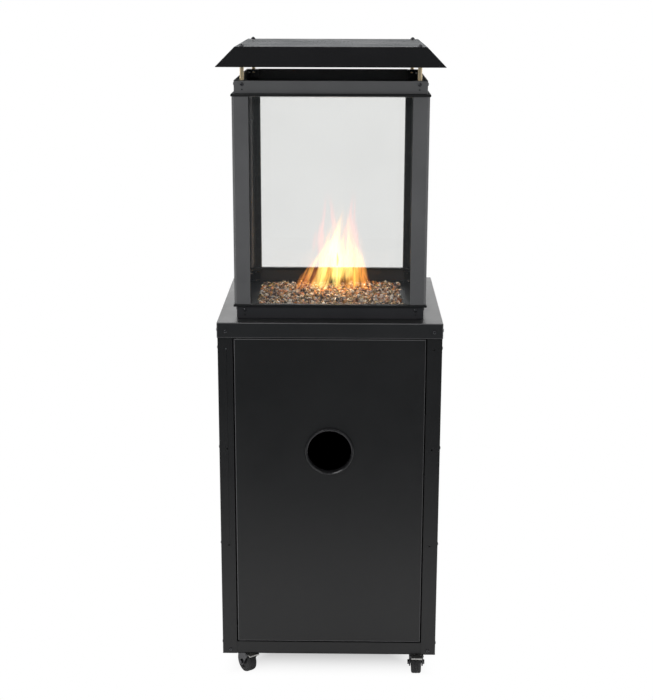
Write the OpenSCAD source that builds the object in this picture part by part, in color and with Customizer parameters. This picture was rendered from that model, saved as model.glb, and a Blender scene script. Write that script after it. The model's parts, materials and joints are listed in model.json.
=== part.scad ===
// Square gas flame lantern: a patio heater with a wheeled cylinder cabinet below,
// a glass lantern with a burner above it, and a hipped roof on four brass standoffs.
// Millimetres. The origin is on the floor at the middle of the plan, +Z is up,
// and the door faces -Y.

/* [Cabinet] */
// Outside width and depth of the square cabinet
cabinet_side = 450; // [370:5:600]
// Height of the cabinet's top face above the floor
cabinet_top_z = 770; // [640:5:960]
// Thickness of the folded steel sheet
sheet = 1.2; // [0.8:0.1:1.5]
// Height of the folded rim around the cabinet top
cap_rim = 31; // [26:1:40]
// Height of the folded rim around the floor pan
pan_rim = 27; // [22:1:36]
// Width of each leg of the cabinet's corner posts
corner_leg = 30; // [26:1:36]
// Distance of the corner screws from the cabinet's edges
corner_screw_inset = 17.5; // [15:0.5:19]
// Distance of the rim screws below the cabinet's top face
cap_screw_drop = 17.7; // [14:0.1:20]
// Distance of the highest panel screw below the cabinet's top face
panel_screw_drop = 54; // [50:1:70]
// Spacing of the panel screws up each corner post
panel_screw_pitch = 210; // [150:5:260]
// Diameter of the raised seat for the gas cylinder in the floor pan
seat_d = 330; // [280:5:340]
// Height of the raised seat above the floor pan
seat_rise = 2; // [1.5:0.5:4]
// Number of vent slots in each row of the rear panel
vent_count = 7; // [3:1:9]
// Length of a vent slot
vent_length = 90; // [50:5:110]
// Height of a vent slot
vent_height = 6; // [4:1:8]
// Spacing of the vent slots
vent_pitch = 16; // [12:1:20]

/* [Door] */
// Gap beside the door on each side
door_gap_side = 2.5; // [2:0.1:4]
// Gap above and below the door
door_gap_end = 2; // [1.6:0.1:4]
// Depth of the door's folded edge
door_depth = 16; // [14:1:22]
// Width of the return at the back of the door's edge
door_return = 10; // [6:1:12]
// Height of the hand hole's centre above the floor
hand_hole_z = 502; // [420:1:560]
// Clear diameter of the hand hole
hand_hole_d = 88; // [70:1:110]
// Radial width of the bezel ring
bezel_width = 6; // [5:0.5:9]
// Height of the bezel above the door's face
bezel_proud = 5; // [4:0.5:8]
// Depth of the bezel's neck behind the door's face
bezel_neck = 10; // [6:1:14]
// Distance of the pivot from the door's edge and from its face
pivot_inset = 8; // [7:0.5:9]
// Diameter of the door's pivot pins
pivot_pin_d = 6; // [5:0.5:7]

/* [Lantern] */
// Distance from the cabinet's edge to the collars' faces
collar_margin = 38; // [34:1:50]
// Height of each collar
collar_height = 25; // [22:1:32]
// Thickness of the square end frames
end_frame_t = 5; // [4:0.5:7]
// Width of the end frames' sides
end_frame_width = 13.2; // [11:0.1:15]
// Overhang of the end frames beyond the lantern posts
end_frame_ear = 1.7; // [1:0.1:3]
// Overhang of the lantern posts beyond the collars
post_overhang = 4.5; // [4:0.1:7]
// Length of the lantern posts
post_length = 410; // [300:5:520]
// Width of each leg of the lantern posts
post_leg = 32.5; // [28:0.5:38]
// Wall of the lantern posts
post_wall = 2; // [1.5:0.1:2.4]
// Chamfer along the lantern posts' outer corner
post_chamfer = 5; // [3:0.5:6]
// Outside diameter of the screw port inside each lantern post
port_d = 8; // [7:0.5:9]
// Thickness of the glass panes
glass_t = 4; // [3:0.5:5]
// Gap left above the glass for expansion
glass_expansion = 1; // [0.6:0.1:2]
// Thickness of the gasket strips in front of the glass
gasket_t = 1; // [0.8:0.1:1.5]
// Width of the gasket strips
gasket_w = 12; // [8:1:14]
// Length of the corner brackets' legs
bracket_leg = 24; // [22:1:28]
// Thickness of the corner brackets
bracket_t = 1.5; // [1.2:0.1:2]
// Distance of the collar screws from the collars' corners
collar_screw_inset = 16; // [14:0.5:18]
// Distance of the collar screws below the collars' top edge
collar_screw_drop = 7; // [6.5:0.5:9]
// Distance between each collar screw and the pilot hole below it
pilot_hole_drop = 10; // [8:1:12]

/* [Roof] */
// Overhang of the roof's rim beyond the lantern posts
roof_overhang = 29; // [20:1:40]
// Distance of the roof's flat top inside the collars' faces
roof_top_inset = 2.5; // [0:0.5:4]
// Height of the roof from its rim to its flat top
roof_rise = 37; // [25:1:60]
// Gap between the upper collar and the roof's rim
roof_gap = 27; // [15:1:50]
// Width of the hem folded in at the roof's rim
roof_hem = 8; // [5:1:12]
// Distance of the standoffs from the collars' faces
standoff_inset = 15; // [14:0.5:16]
// Diameter of the brass standoffs
standoff_d = 8; // [7.5:0.5:8.5]
// Diameter of the threaded studs on the standoffs
stud_d = 5; // [4:0.5:5.5]

/* [Burner and gas] */
// Gap between the fire-glass tray's flange and the corner brackets
tray_gap = 3.8; // [2:0.1:8]
// Width of the tray's flange
tray_flange = 8; // [6:1:10]
// Depth of the fire-glass tray
tray_depth = 40; // [35:1:44]
// Height of the fire glass above the cabinet's top face
glass_bed_rise = 4; // [1:0.5:8]
// Diameter of the burner
burner_d = 150; // [110:5:180]
// Height of the burner
burner_h = 18; // [14:1:22]
// Number of flame ports in the burner's outer ring
port_count = 24; // [12:1:32]
// Diameter of the burner's mixer tube
mixer_d = 22; // [18:1:26]
// Length of the mixer tube below the tray
mixer_length = 40; // [35:1:50]
// Diameter of the main gas pipe
pipe_d = 8; // [6:0.5:9]
// Diameter of the pilot pipe and the leads
lead_d = 4; // [3:0.5:4.5]
// Distance of the controls below the cabinet's top face
control_drop = 85; // [84:1:110]
// Width of the recess that holds the controls
recess_w = 140; // [130:5:160]
// Height of the recess that holds the controls
recess_h = 84; // [70:1:84]
// Depth of the recess that holds the controls
recess_depth = 30; // [29:1:40]
// Diameter of the control knob
knob_d = 44; // [36:1:50]
// Height of the control knob
knob_h = 20; // [16:1:22]
// Diameter of the valve's spindle
spindle_d = 8; // [6:0.5:9]
// Push travel of the control knob
knob_travel = 3; // [2:0.5:3]
// Diameter of the igniter's button
button_d = 12; // [10:0.5:14]
// Travel of the igniter's button
button_travel = 6; // [4:0.5:7]
// Outside diameter of the gas inlet's hose tail
hose_tail_d = 9; // [8:0.5:10]
// Length of the gas inlet's hose tail
hose_tail_length = 18; // [15:1:24]

/* [Casters] */
// Diameter of the caster wheels
wheel_d = 48; // [40:1:60]
// Width of the caster wheels
wheel_width = 22; // [18:1:24]
// Gap between the wheels and the cabinet's lower edge
skirt_gap = 3; // [2:0.5:6]
// Distance of the caster pivots from the cabinet's edges
caster_inset = 40; // [38:1:46]
// Distance from the caster pivot to the wheel's axle
caster_trail = 18; // [14:1:20]
// Thickness of the fork's sides
fork_t = 2.5; // [2:0.1:3]
// Diameter of the wheel's axle
axle_d = 6; // [5:0.5:8]
// Side of the caster's square plate
caster_plate_side = 48; // [46:1:52]
// Spacing of the bolts in the caster's plate
caster_bolt_pitch = 34; // [32:1:36]
// Turn of the front left caster at rest
turn_front_left = 35; // [-180:1:180]
// Turn of the front right caster at rest
turn_front_right = 0; // [-180:1:180]
// Turn of the rear left caster at rest
turn_rear_left = 160; // [-180:1:180]
// Turn of the rear right caster at rest
turn_rear_right = -172; // [-180:1:180]

/* [Fasteners and fits] */
// Diameter of the panel and collar screws
screw_d = 4; // [3:0.5:4.5]
// Radial clearance of a screw in its hole
screw_clear = 0.15; // [0.1:0.05:0.3]
// Radial clearance of a shaft that turns or slides in its bore
run_clear = 0.05; // [0.02:0.01:0.1]
// Gap between faces that move past each other
slide_gap = 0.3; // [0.2:0.05:0.5]
// Gap between the ends of neighbouring panels
panel_gap = 0.5; // [0.3:0.1:1]

/* [Hidden] */
$fn = 48;
EPS = 0.01;
CUT = 1;

// Plan, from the outside in
half = cabinet_side / 2;
post_face = half - sheet;
inner_face = post_face - sheet;
screw_x = half - corner_screw_inset;
head_r = 3.6;

// Levels of the cabinet
wheel_r = wheel_d / 2;
skirt_z = wheel_d + skirt_gap;
pan_z = skirt_z + pan_rim;
rim_z = cabinet_top_z - cap_rim;
deck_z = cabinet_top_z - sheet;
panel_rows = 3;
pan_screw_z = skirt_z + 20;
pan_front_screw_z = skirt_z + 9;
pilot_d = 3;
vent_edge = 40;
vent_side = 15;
pan_vent_length = 60;
pan_vent_pitch = 22;
pan_vent_r = 60;
seat_z = pan_z + seat_rise;

// Door
door_half = post_face - corner_leg - door_gap_side;
door_z0 = pan_z + door_gap_end;
door_z1 = rim_z - door_gap_end;
door_y = -post_face;
door_back = door_y + door_depth;
pivot_x = -(door_half - pivot_inset);
pivot_y = door_y + pivot_inset;
pivot_head = 2;
pivot_plate = 2;
pivot_leg = 24;
pivot_low_reach = 12;
catch_w = 14;
catch_h = 40;
catch_depth = 12;
catch_lap = 2;
catch_rise = 30;

// Lantern
collar_half = half - collar_margin;
collar_inner = collar_half - sheet;
post_half = collar_half + post_overhang;
frame_half = post_half + end_frame_ear;
frame_inner = frame_half - end_frame_width;
frame_corner_cut = 22;
port_c = collar_inner - bracket_t - head_r - slide_gap;
collar_z0 = cabinet_top_z;
frame_z0 = collar_z0 + collar_height;
post_z0 = frame_z0 + end_frame_t;
post_z1 = post_z0 + post_length;
collar_z1 = post_z1 + end_frame_t;
crown_z = collar_z1 + collar_height;
pane_out = post_half - post_wall - gasket_t;
pane_half = port_c - port_d / 2 - 0.8;
pane_z1 = post_z1 - glass_expansion;
collar_screw_x = collar_half - collar_screw_inset;
stud_c = collar_half - standoff_inset;

// Roof
roof_half = post_half + roof_overhang;
roof_top_half = collar_half - roof_top_inset;
rim_level = crown_z + roof_gap;
roof_z = rim_level + roof_rise;
roof_run = roof_half - roof_top_half;
roof_wall_run = sheet * sqrt(roof_run * roof_run + roof_rise * roof_rise) / roof_rise;

// Burner and tray
tray_flange_half = collar_inner - bracket_leg - tray_gap;
tray_half = tray_flange_half - tray_flange;
tray_floor = cabinet_top_z + sheet - tray_depth;
burner_z = tray_floor + sheet;
burner_wall = 1.5;
mixer_r = mixer_d / 2;
mixer_z = tray_floor - mixer_length;
port_inset = 9;
port_r = 1.5;
air_slot_half = 4;
air_slot_z = 14;
air_slot_h = 12;
nozzle_r = 4;
nozzle_length = 8;
injector_r = 8;
injector_h = 12;
pilot_y = burner_d / 2 + 14;
pilot_gap = 8;
pilot_half = 17;
pilot_tube_r = 3.5;
pilot_low = tray_floor - 6;
pilot_bracket_t = 2;
pilot_bracket_edge = 3;
hood_half = 4;
hood_low = tray_floor + tray_depth - 21;
hood_h = 7;
probe_r = 2.5;
probe_low = tray_floor - 8;
probe_top = hood_low + 11;
insulator_top = hood_low + 3;
spark_tip_r = 1;
spark_tip_length = 8;
pilot_pipe_z = tray_floor - 13;
spark_lead_z = tray_floor - 18;
probe_lead_z = tray_floor - 21;
lead_bend_r = 5;
pipe_bend_r = 10;
pipe_side = 22;
pipe_drop = 20;
bed_z = cabinet_top_z + glass_bed_rise;

// Controls, on the floor of a recess in the rear panel
control_z = cabinet_top_z - control_drop;
recess_flange = 10;
recess_floor = inner_face - recess_depth;
plate_face = recess_floor + sheet;
knob_x = -30;
button_x = 38;
valve_w = 56;
valve_h = 36;
valve_depth = 36;
valve_bore = 24;
boss_d = 16;
boss_h = 2.5;
knob_y = plate_face + boss_h + knob_travel + slide_gap;
knob_wall = 4;
knob_skirt = 5;
knob_crown = 3;
knob_grip_w = 8;
knob_body = 0.72;
knob_grip = 0.7;
spindle_y = knob_y + knob_h - knob_wall - knob_travel - slide_gap;
spindle_flat = 1;
igniter_d = button_d + 6;
igniter_length = 50;
igniter_ring_d = igniter_d + 8;
igniter_ring_h = 3;
igniter_nut_h = 4;
button_inside = 12;
button_proud = button_travel + 2;
valve_y = recess_floor - valve_depth / 2;
inlet_z = control_z - valve_h / 2;
inlet_nut_af = 16;
inlet_nut_h = 10;
hose_tail_wall = 2;
tilt_inset = 85;
tilt_w = 30;
tilt_depth = 16;
tilt_h = 30;
tilt_rise = 60;

// Casters
caster_c = half - caster_inset;
CORNERS = [[-1, -1], [1, -1], [-1, 1], [1, 1]];
caster_turns = [turn_front_left, turn_front_right, turn_rear_left, turn_rear_right];
plate_t = 2.5;
race_h = 4;
race_r = 15;
kingpin_r = 4;
plate_z = pan_z - sheet;
race_z = plate_z - plate_t - race_h;
fork_z = race_z - slide_gap;
fork_top_t = 2.5;
fork_disc_r = 17;
wheel_side_gap = 1;
fork_inner = wheel_width / 2 + wheel_side_gap;
fork_outer = fork_inner + fork_t;
axle_r = axle_d / 2;
pedal_pin_r = 1.8;
pedal_hub_r = 3.2;
pedal_reach = 13;
pedal_t = 3.5;
pedal_gap = wheel_r + pedal_hub_r + 1.2;
pedal_angle = 50;
pedal_u = caster_trail + pedal_gap * cos(pedal_angle);
pedal_z = wheel_r + pedal_gap * sin(pedal_angle);

// Fasteners
screw_r = screw_d / 2;
hole_r = screw_r + screw_clear;
head_h = 2.2;
screw_length = 8;
post_screw_length = 20;
nut_af = 8;
nut_h = 4;
stud_tail = 2;
cap_nut_h = 2;
cap_nut_bore = 2.6;
dome_r = 3.9;
dome_drop = 1.5;
bolt_head_h = 3;
stud_r = stud_d / 2;
stud_hole_r = stud_r + screw_clear;

BLACK = "#2a2a2c";
SATIN = "#4a4a4c";
BRASS = "#c9a24a";
STEEL = "#a8abad";
RUBBER = "#1c1c1c";
AMBER = "#a0683a";
CLEAR = [0.86, 0.9, 0.9, 0.35];

// ---------------------------------------------------------------- helpers

// A box between two corners
module block(low, high) {
    translate(low) cube(high - low);
}

// A square ring of sheet between two heights
module square_ring(outer, inner, z0, z1) {
    difference() {
        block([-outer, -outer, z0], [outer, outer, z1]);
        block([-inner, -inner, z0 - CUT], [inner, inner, z1 + CUT]);
    }
}

// A round bar along X, Y or Z from a point
module bar_x(at, r, length) {
    translate(at) rotate([0, 90, 0]) cylinder(r = r, h = length);
}

module bar_y(at, r, length) {
    translate(at) rotate([-90, 0, 0]) cylinder(r = r, h = length);
}

module bar_z(at, r, length) {
    translate(at) cylinder(r = r, h = length);
}

// A hexagon nut or head, given its size across the flats
module hexagon(at, across, length) {
    translate(at) cylinder(r = across / sqrt(3), h = length, $fn = 6);
}

// What is modelled at the front left corner, placed at each of the four
module at_corner(corner) {
    mirror([corner[0] > 0 ? 1 : 0, 0, 0]) mirror([0, corner[1] > 0 ? 1 : 0, 0]) children();
}

module at_all_corners() {
    for (corner = CORNERS) at_corner(corner) children();
}

// The four sides of the plan, starting with the front
module at_all_sides() {
    for (turn = [0:3]) rotate(turn * 90) children();
}

// A pan-head screw whose head stands on a face that looks along -Y
module side_screw(x, face, z, length = screw_length) {
    bar_y([x, face - head_h, z], head_r, head_h);
    bar_y([x, face - head_h / 2, z], screw_r, length + head_h / 2);
}

// Routes of pipes: a corner is rounded by a curve that starts and ends short of it
function unit(v) = v / norm(v);
function bend(a, b, c, r, n) =
    let (p = b + r * unit(a - b), q = b + r * unit(c - b))
    [for (i = [0:n]) let (s = i / n) (1 - s) * (1 - s) * p + 2 * s * (1 - s) * b + s * s * q];
function route(points, r, n = 4) = concat(
    [points[0]],
    [for (i = [1:len(points) - 2]) each bend(points[i - 1], points[i], points[i + 1], r, n)],
    [points[len(points) - 1]]
);
function heading(p, i) =
    unit(unit(p[min(i + 1, len(p) - 1)] - p[min(i, len(p) - 2)])
        + unit(p[max(i, 1)] - p[max(i - 1, 0)]));
function square_to(v, t) = unit(v - (v * t) * t);
function side_axes(p) = [
    for (i = 0, n = square_to([0.31, 0.57, 0.76], heading(p, 0)); i < len(p);
        i = i + 1, n = i < len(p) ? square_to(n, heading(p, i)) : n) n
];

// A pipe or a lead: rings of points square to the route
module pipe(points, r, bend_r, sides = 12) {
    p = route(points, bend_r);
    normals = side_axes(p);
    rings = [
        for (i = [0:len(p) - 1], k = [0:sides - 1])
            let (n = normals[i], m = cross(heading(p, i), n), a = 360 * k / sides)
            p[i] + r * (cos(a) * n + sin(a) * m)
    ];
    last = (len(p) - 1) * sides;
    polyhedron(
        rings,
        concat(
            [[for (k = [0:sides - 1]) k]],
            [[for (k = [sides - 1:-1:0]) last + k]],
            [for (i = [0:len(p) - 2], k = [0:sides - 1])
                let (a = i * sides, b = a + sides, j = (k + 1) % sides)
                [a + k, b + k, b + j, a + j]]
        ),
        convexity = 6
    );
}

// ---------------------------------------------------------------- cabinet

// Folded top with a rim all round and the opening for the fire-glass tray
module cabinet_top() {
    color(BLACK) difference() {
        block([-half, -half, rim_z], [half, half, cabinet_top_z]);
        block([-post_face, -post_face, rim_z - CUT], [post_face, post_face, deck_z]);
        block([-tray_half - CUT, -tray_half - CUT, deck_z - CUT],
            [tray_half + CUT, tray_half + CUT, cabinet_top_z + CUT]);
        at_all_corners() bar_z([-stud_c, -stud_c, deck_z - CUT], hole_r, sheet + 2 * CUT);
        at_all_sides() for (x = [-screw_x, screw_x])
            bar_y([x, -half - CUT, cabinet_top_z - cap_screw_drop], hole_r, sheet + 2 * CUT);
    }
}

// Heights of the panel screws up a corner post
function panel_screw_heights() =
    [for (row = [0:panel_rows - 1])
        cabinet_top_z - panel_screw_drop - row * min(panel_screw_pitch, panel_screw_span())];
function panel_screw_span() =
    (cabinet_top_z - panel_screw_drop - pan_z - 2 * head_r) / (panel_rows - 1);

// Folded angle at a corner of the cabinet; a front post's front leg has pilot holes
module corner_post(corner) {
    front = corner[1] < 0;
    leg_end = post_face - corner_leg;
    color(BLACK) at_corner(corner) difference() {
        block([-post_face, -post_face, skirt_z], [-leg_end, -leg_end, deck_z]);
        block([-inner_face, -inner_face, skirt_z - CUT], [0, 0, deck_z + CUT]);
        for (z = panel_screw_heights()) {
            bar_x([-post_face - CUT, -screw_x, z], hole_r, sheet + 2 * CUT);
            bar_y([-screw_x, -post_face - CUT, z], front ? pilot_d / 2 : hole_r, sheet + 2 * CUT);
        }
        for (z = [pan_screw_z, cabinet_top_z - cap_screw_drop])
            bar_x([-post_face - CUT, -screw_x, z], hole_r, sheet + 2 * CUT);
        for (z = [front ? pan_front_screw_z : pan_screw_z, cabinet_top_z - cap_screw_drop])
            bar_y([-screw_x, -post_face - CUT, z], hole_r, sheet + 2 * CUT);
    }
}

// Flat side panel behind the posts' legs, from the floor pan to the cabinet top
module side_panel(side) {
    reach = inner_face - panel_gap;
    color(BLACK) mirror([side > 0 ? 1 : 0, 0, 0]) difference() {
        block([-inner_face, -reach, pan_z], [-inner_face + sheet, reach, deck_z]);
        for (y = [-screw_x, screw_x], z = panel_screw_heights())
            bar_x([-inner_face - CUT, y, z], hole_r, sheet + 2 * CUT);
        for (y = [-screw_x, screw_x])
            bar_x([-inner_face - CUT, y, cabinet_top_z - cap_screw_drop], hole_r, sheet + 2 * CUT);
    }
}

// Rear panel with the opening for the controls and a row of vents high and low
module rear_panel() {
    reach = inner_face - sheet - panel_gap;
    vent_top = control_z - recess_h / 2 - vent_edge;
    color(BLACK) difference() {
        block([-reach, inner_face - sheet, pan_z], [reach, inner_face, deck_z]);
        for (x = [-screw_x, screw_x], z = panel_screw_heights())
            bar_y([x, inner_face - sheet - CUT, z], hole_r, sheet + 2 * CUT);
        for (x = [-screw_x, screw_x])
            bar_y([x, inner_face - sheet - CUT, cabinet_top_z - cap_screw_drop], hole_r,
                sheet + 2 * CUT);
        block([-recess_w / 2, inner_face - sheet - CUT, control_z - recess_h / 2],
            [recess_w / 2, inner_face + CUT, control_z + recess_h / 2]);
        for (x = [-1, 1], z = [-1, 1])
            bar_y([x * (recess_w / 2 + recess_flange / 2), inner_face - sheet - CUT,
                control_z + z * (recess_h / 2 + recess_flange / 2)], hole_r, sheet + 2 * CUT);
        for (side = [-1, 1], level = [pan_z + vent_edge, vent_top - (vent_count - 1) * vent_pitch])
            for (i = [0:vent_count - 1])
                translate([side * (vent_length / 2 + vent_side), inner_face, level + i * vent_pitch])
                    cube([vent_length, 4 * sheet, vent_height], center = true);
    }
}

// Floor of the cabinet: a pan whose rims hang down between the posts, with a raised seat
module floor_pan() {
    skin = inner_face - sheet;
    color(BLACK) difference() {
        union() {
            block([-inner_face, -inner_face, skirt_z], [inner_face, inner_face, pan_z]);
            bar_z([0, 0, plate_z], seat_d / 2, seat_z - plate_z);
        }
        block([-skin, -skin, skirt_z - CUT], [skin, skin, plate_z]);
        bar_z([0, 0, plate_z - CUT], seat_d / 2 - sheet, seat_z - sheet - plate_z + CUT);
        at_all_corners() translate([-caster_c, -caster_c, 0])
            for (x = [-1, 1], y = [-1, 1])
                bar_z([x * caster_bolt_pitch / 2, y * caster_bolt_pitch / 2, plate_z - CUT],
                    stud_hole_r, sheet + 2 * CUT);
        bar_z([pivot_x, pivot_y, plate_z - CUT], pivot_pin_d / 2 + 1, sheet + 2 * CUT);
        for (turn = [0, 90, 180, 270], i = [-1:1])
            rotate(turn) translate([0, pan_vent_r + pan_vent_pitch * i, seat_z])
                cube([pan_vent_length, vent_height, 4 * sheet], center = true);
        for (turn = [1:3], x = [-screw_x, screw_x])
            rotate(turn * 90)
                bar_y([x, -inner_face - CUT, pan_screw_z], hole_r, sheet + 2 * CUT);
        for (x = [-screw_x, screw_x])
            bar_y([x, -inner_face - CUT, pan_front_screw_z], hole_r, sheet + 2 * CUT);
    }
}

// Screws in the cabinet's rim, posts, pan and control plate
module panel_screws() {
    color(STEEL) {
        at_all_sides() for (x = [-screw_x, screw_x])
            side_screw(x, -half, cabinet_top_z - cap_screw_drop);
        for (turn = [1:3], x = [-screw_x, screw_x])
            rotate(turn * 90) {
                for (z = panel_screw_heights()) side_screw(x, -post_face, z);
                side_screw(x, -post_face, pan_screw_z);
            }
        for (x = [-screw_x, screw_x]) side_screw(x, -post_face, pan_front_screw_z);
        rotate(180)
            for (x = [-1, 1], z = [-1, 1])
                side_screw(x * (recess_w / 2 + recess_flange / 2), -post_face,
                    control_z + z * (recess_h / 2 + recess_flange / 2));
    }
}

// ---------------------------------------------------------------- door

// Folded door with a hand hole, returns along its upright edges and pivot holes
module door_panel() {
    color(BLACK) difference() {
        block([-door_half, door_y, door_z0], [door_half, door_back, door_z1]);
        block([-door_half + sheet, door_y + sheet, door_z0 + sheet],
            [door_half - sheet, door_back - sheet, door_z1 - sheet]);
        block([-door_half + door_return, door_y + sheet, door_z0 + sheet],
            [door_half - door_return, door_back + CUT, door_z1 - sheet]);
        bar_y([0, door_y - CUT, hand_hole_z], hand_hole_d / 2 + sheet + screw_clear,
            sheet + 2 * CUT);
        for (z = [door_z0, door_z1 - sheet])
            bar_z([pivot_x, pivot_y, z - CUT], pivot_pin_d / 2 + screw_clear, sheet + 2 * CUT);
    }
}

// Pressed ring around the hand hole: a rounded bead with a neck through the door
module door_bezel() {
    r0 = hand_hole_d / 2;
    bead = bezel_width / 2;
    steps = 8;
    color(BLACK) translate([0, door_y, hand_hole_z]) rotate([90, 0, 0])
        rotate_extrude($fn = 96) polygon(concat(
            [[r0, -bezel_neck], [r0, bezel_proud - bead]],
            [for (i = [1:steps - 1])
                let (a = 180 - 180 * i / steps)
                [r0 + bead + bead * cos(a), bezel_proud - bead + bead * sin(a)]],
            [[r0 + bezel_width, bezel_proud - bead], [r0 + bezel_width, 0],
                [r0 + sheet, 0], [r0 + sheet, -bezel_neck]]
        ));
}

// Riveted pins at the top and bottom of the door's left edge
module door_pivot_pins() {
    r = pivot_pin_d / 2;
    color(STEEL) {
        bar_z([pivot_x, pivot_y, plate_z - pivot_plate - 1], r, door_z0 + sheet + pivot_head
            - plate_z + pivot_plate + 1);
        bar_z([pivot_x, pivot_y, door_z0 + sheet], r + 2, pivot_head);
        bar_z([pivot_x, pivot_y, pan_z + slide_gap], r + 2, door_gap_end - slide_gap);
    }
    color(STEEL) {
        bar_z([pivot_x, pivot_y, door_z1 - sheet - pivot_head], r,
            sheet + pivot_head + door_gap_end + pivot_plate + 1);
        bar_z([pivot_x, pivot_y, door_z1 - sheet - pivot_head], r + 2, pivot_head);
    }
}

// Bracket behind the left post that takes the upper pin, and plate that takes the lower
module door_pivot_brackets() {
    bore = pivot_pin_d / 2 + run_clear;
    tab_z = door_z1 + door_gap_end - slide_gap;
    side = -inner_face + pivot_plate;
    back = pivot_y + pivot_inset;
    low_back = min(back, -caster_c - caster_plate_side / 2 - slide_gap);
    color(STEEL) difference() {
        union() {
            block([side, -inner_face, tab_z - pivot_leg],
                [-door_half - door_gap_side - slide_gap, -inner_face + pivot_plate,
                    tab_z + pivot_plate]);
            block([side, -inner_face, tab_z],
                [pivot_x + pivot_inset, back, tab_z + pivot_plate]);
        }
        bar_z([pivot_x, pivot_y, tab_z - CUT], bore, pivot_plate + 2 * CUT);
    }
    color(STEEL) difference() {
        block([pivot_x - pivot_low_reach, -inner_face + sheet, plate_z - pivot_plate],
            [pivot_x + pivot_inset, low_back, plate_z]);
        bar_z([pivot_x, pivot_y, plate_z - pivot_plate - CUT], bore, pivot_plate + 2 * CUT);
    }
}

// Magnetic catch behind the right post, against the return of the door
module door_catch() {
    x0 = door_half - door_return + catch_lap;
    x1 = post_face - corner_leg + catch_lap;
    x2 = x1 + catch_w;
    y0 = door_back + slide_gap;
    y1 = y0 + catch_depth;
    z0 = cabinet_top_z - panel_screw_drop - panel_screw_pitch + catch_rise;
    z1 = z0 + catch_h;
    color(RUBBER) {
        block([x1, -inner_face, z0], [x2, y1, z1]);
        block([x0, y0, z0], [x1, y1, z1]);
    }
}

// ---------------------------------------------------------------- lantern

// Square collar of sheet with screw holes and a pilot hole below each of them
module collar(z0) {
    screw_z = z0 + collar_height - collar_screw_drop;
    color(BLACK) difference() {
        square_ring(collar_half, collar_inner, z0, z0 + collar_height);
        at_all_sides() for (x = [-collar_screw_x, collar_screw_x]) {
            bar_y([x, -collar_half - CUT, screw_z], hole_r, sheet + 2 * CUT);
            bar_y([x, -collar_half - CUT, screw_z - pilot_hole_drop], pilot_d / 2,
                sheet + 2 * CUT);
        }
    }
}

module lower_collar() {
    collar(collar_z0);
}

module upper_collar() {
    collar(collar_z1);
}

// Bracket in a collar's corner, with a tab at both ends and holes for screws and studs
module collar_bracket(z0) {
    end = collar_inner - bracket_leg;
    z1 = z0 + collar_height;
    screw_z = z1 - collar_screw_drop;
    difference() {
        block([-collar_inner, -collar_inner, z0], [-end, -end, z1]);
        block([-collar_inner + bracket_t, -collar_inner + bracket_t, z0 + bracket_t],
            [0, 0, z1 - bracket_t]);
        bar_z([-port_c, -port_c, z0 - CUT], hole_r, collar_height + 2 * CUT);
        bar_z([-stud_c, -stud_c, z0 - CUT], stud_hole_r, collar_height + 2 * CUT);
        bar_x([-collar_inner - CUT, -collar_screw_x, screw_z], hole_r, bracket_t + 2 * CUT);
        bar_y([-collar_screw_x, -collar_inner - CUT, screw_z], hole_r, bracket_t + 2 * CUT);
    }
}

module collar_brackets() {
    color(BLACK) at_all_corners() {
        collar_bracket(collar_z0);
        collar_bracket(collar_z1);
    }
}

// Screws through the collars' faces, down into the cabinet top and along the posts
module collar_screws() {
    tab_low = collar_z0 + bracket_t;
    color(STEEL) {
        for (z0 = [collar_z0, collar_z1])
            at_all_sides() for (x = [-collar_screw_x, collar_screw_x])
                side_screw(x, -collar_half, z0 + collar_height - collar_screw_drop);
        at_all_corners() {
            bar_z([-stud_c, -stud_c, tab_low], head_r, head_h);
            bar_z([-stud_c, -stud_c, tab_low - screw_length], screw_r, screw_length + head_h / 2);
            translate([-port_c, -port_c, frame_z0 - bracket_t - head_h]) {
                cylinder(r = head_r, h = head_h);
                cylinder(r = screw_r, h = head_h + post_screw_length);
            }
            translate([-port_c, -port_c, collar_z1 + bracket_t - post_screw_length]) {
                cylinder(r = screw_r, h = post_screw_length + head_h);
                translate([0, 0, post_screw_length]) cylinder(r = head_r, h = head_h);
            }
        }
    }
}

// Square frame between a collar and the posts; its inner corners are filled for the screws
module end_frame(z0) {
    cut = frame_inner - frame_corner_cut;
    color(BLACK) difference() {
        block([-frame_half, -frame_half, z0], [frame_half, frame_half, z0 + end_frame_t]);
        translate([0, 0, z0 - CUT]) linear_extrude(end_frame_t + 2 * CUT) polygon([
            [-cut, -frame_inner], [cut, -frame_inner], [frame_inner, -cut], [frame_inner, cut],
            [cut, frame_inner], [-cut, frame_inner], [-frame_inner, cut], [-frame_inner, -cut]
        ]);
        at_all_corners() bar_z([-port_c, -port_c, z0 - CUT], hole_r, end_frame_t + 2 * CUT);
    }
}

module lantern_end_frames() {
    end_frame(frame_z0);
    end_frame(post_z1);
}

// Extruded angle with a chamfered corner and a screw port on a web inside it
module lantern_post(corner) {
    a = post_half;
    b = post_half - post_leg;
    c = post_half - post_wall;
    inner_chamfer = post_chamfer + post_wall * (sqrt(2) - 1);
    web = 1;
    web_end = c - inner_chamfer / 2;
    color(SATIN) at_corner(corner) translate([0, 0, post_z0]) difference() {
        linear_extrude(post_length) union() {
            polygon([
                [-b, -a], [-a + post_chamfer, -a], [-a, -a + post_chamfer], [-a, -b],
                [-c, -b], [-c, -c + inner_chamfer], [-c + inner_chamfer, -c], [-b, -c]
            ]);
            polygon([
                [-port_c - web, -port_c + web], [-port_c + web, -port_c - web],
                [-web_end + web, -web_end - web], [-web_end - web, -web_end + web]
            ]);
            translate([-port_c, -port_c]) circle(r = port_d / 2);
        }
        bar_z([-port_c, -port_c, -CUT], screw_r + run_clear, post_length + 2 * CUT);
    }
}

// Pane at the front, turned for the other three sides
module glass_pane(turn) {
    color(CLEAR) rotate(turn)
        block([-pane_half, -pane_out, post_z0], [pane_half, -pane_out + glass_t, pane_z1]);
}

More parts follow.
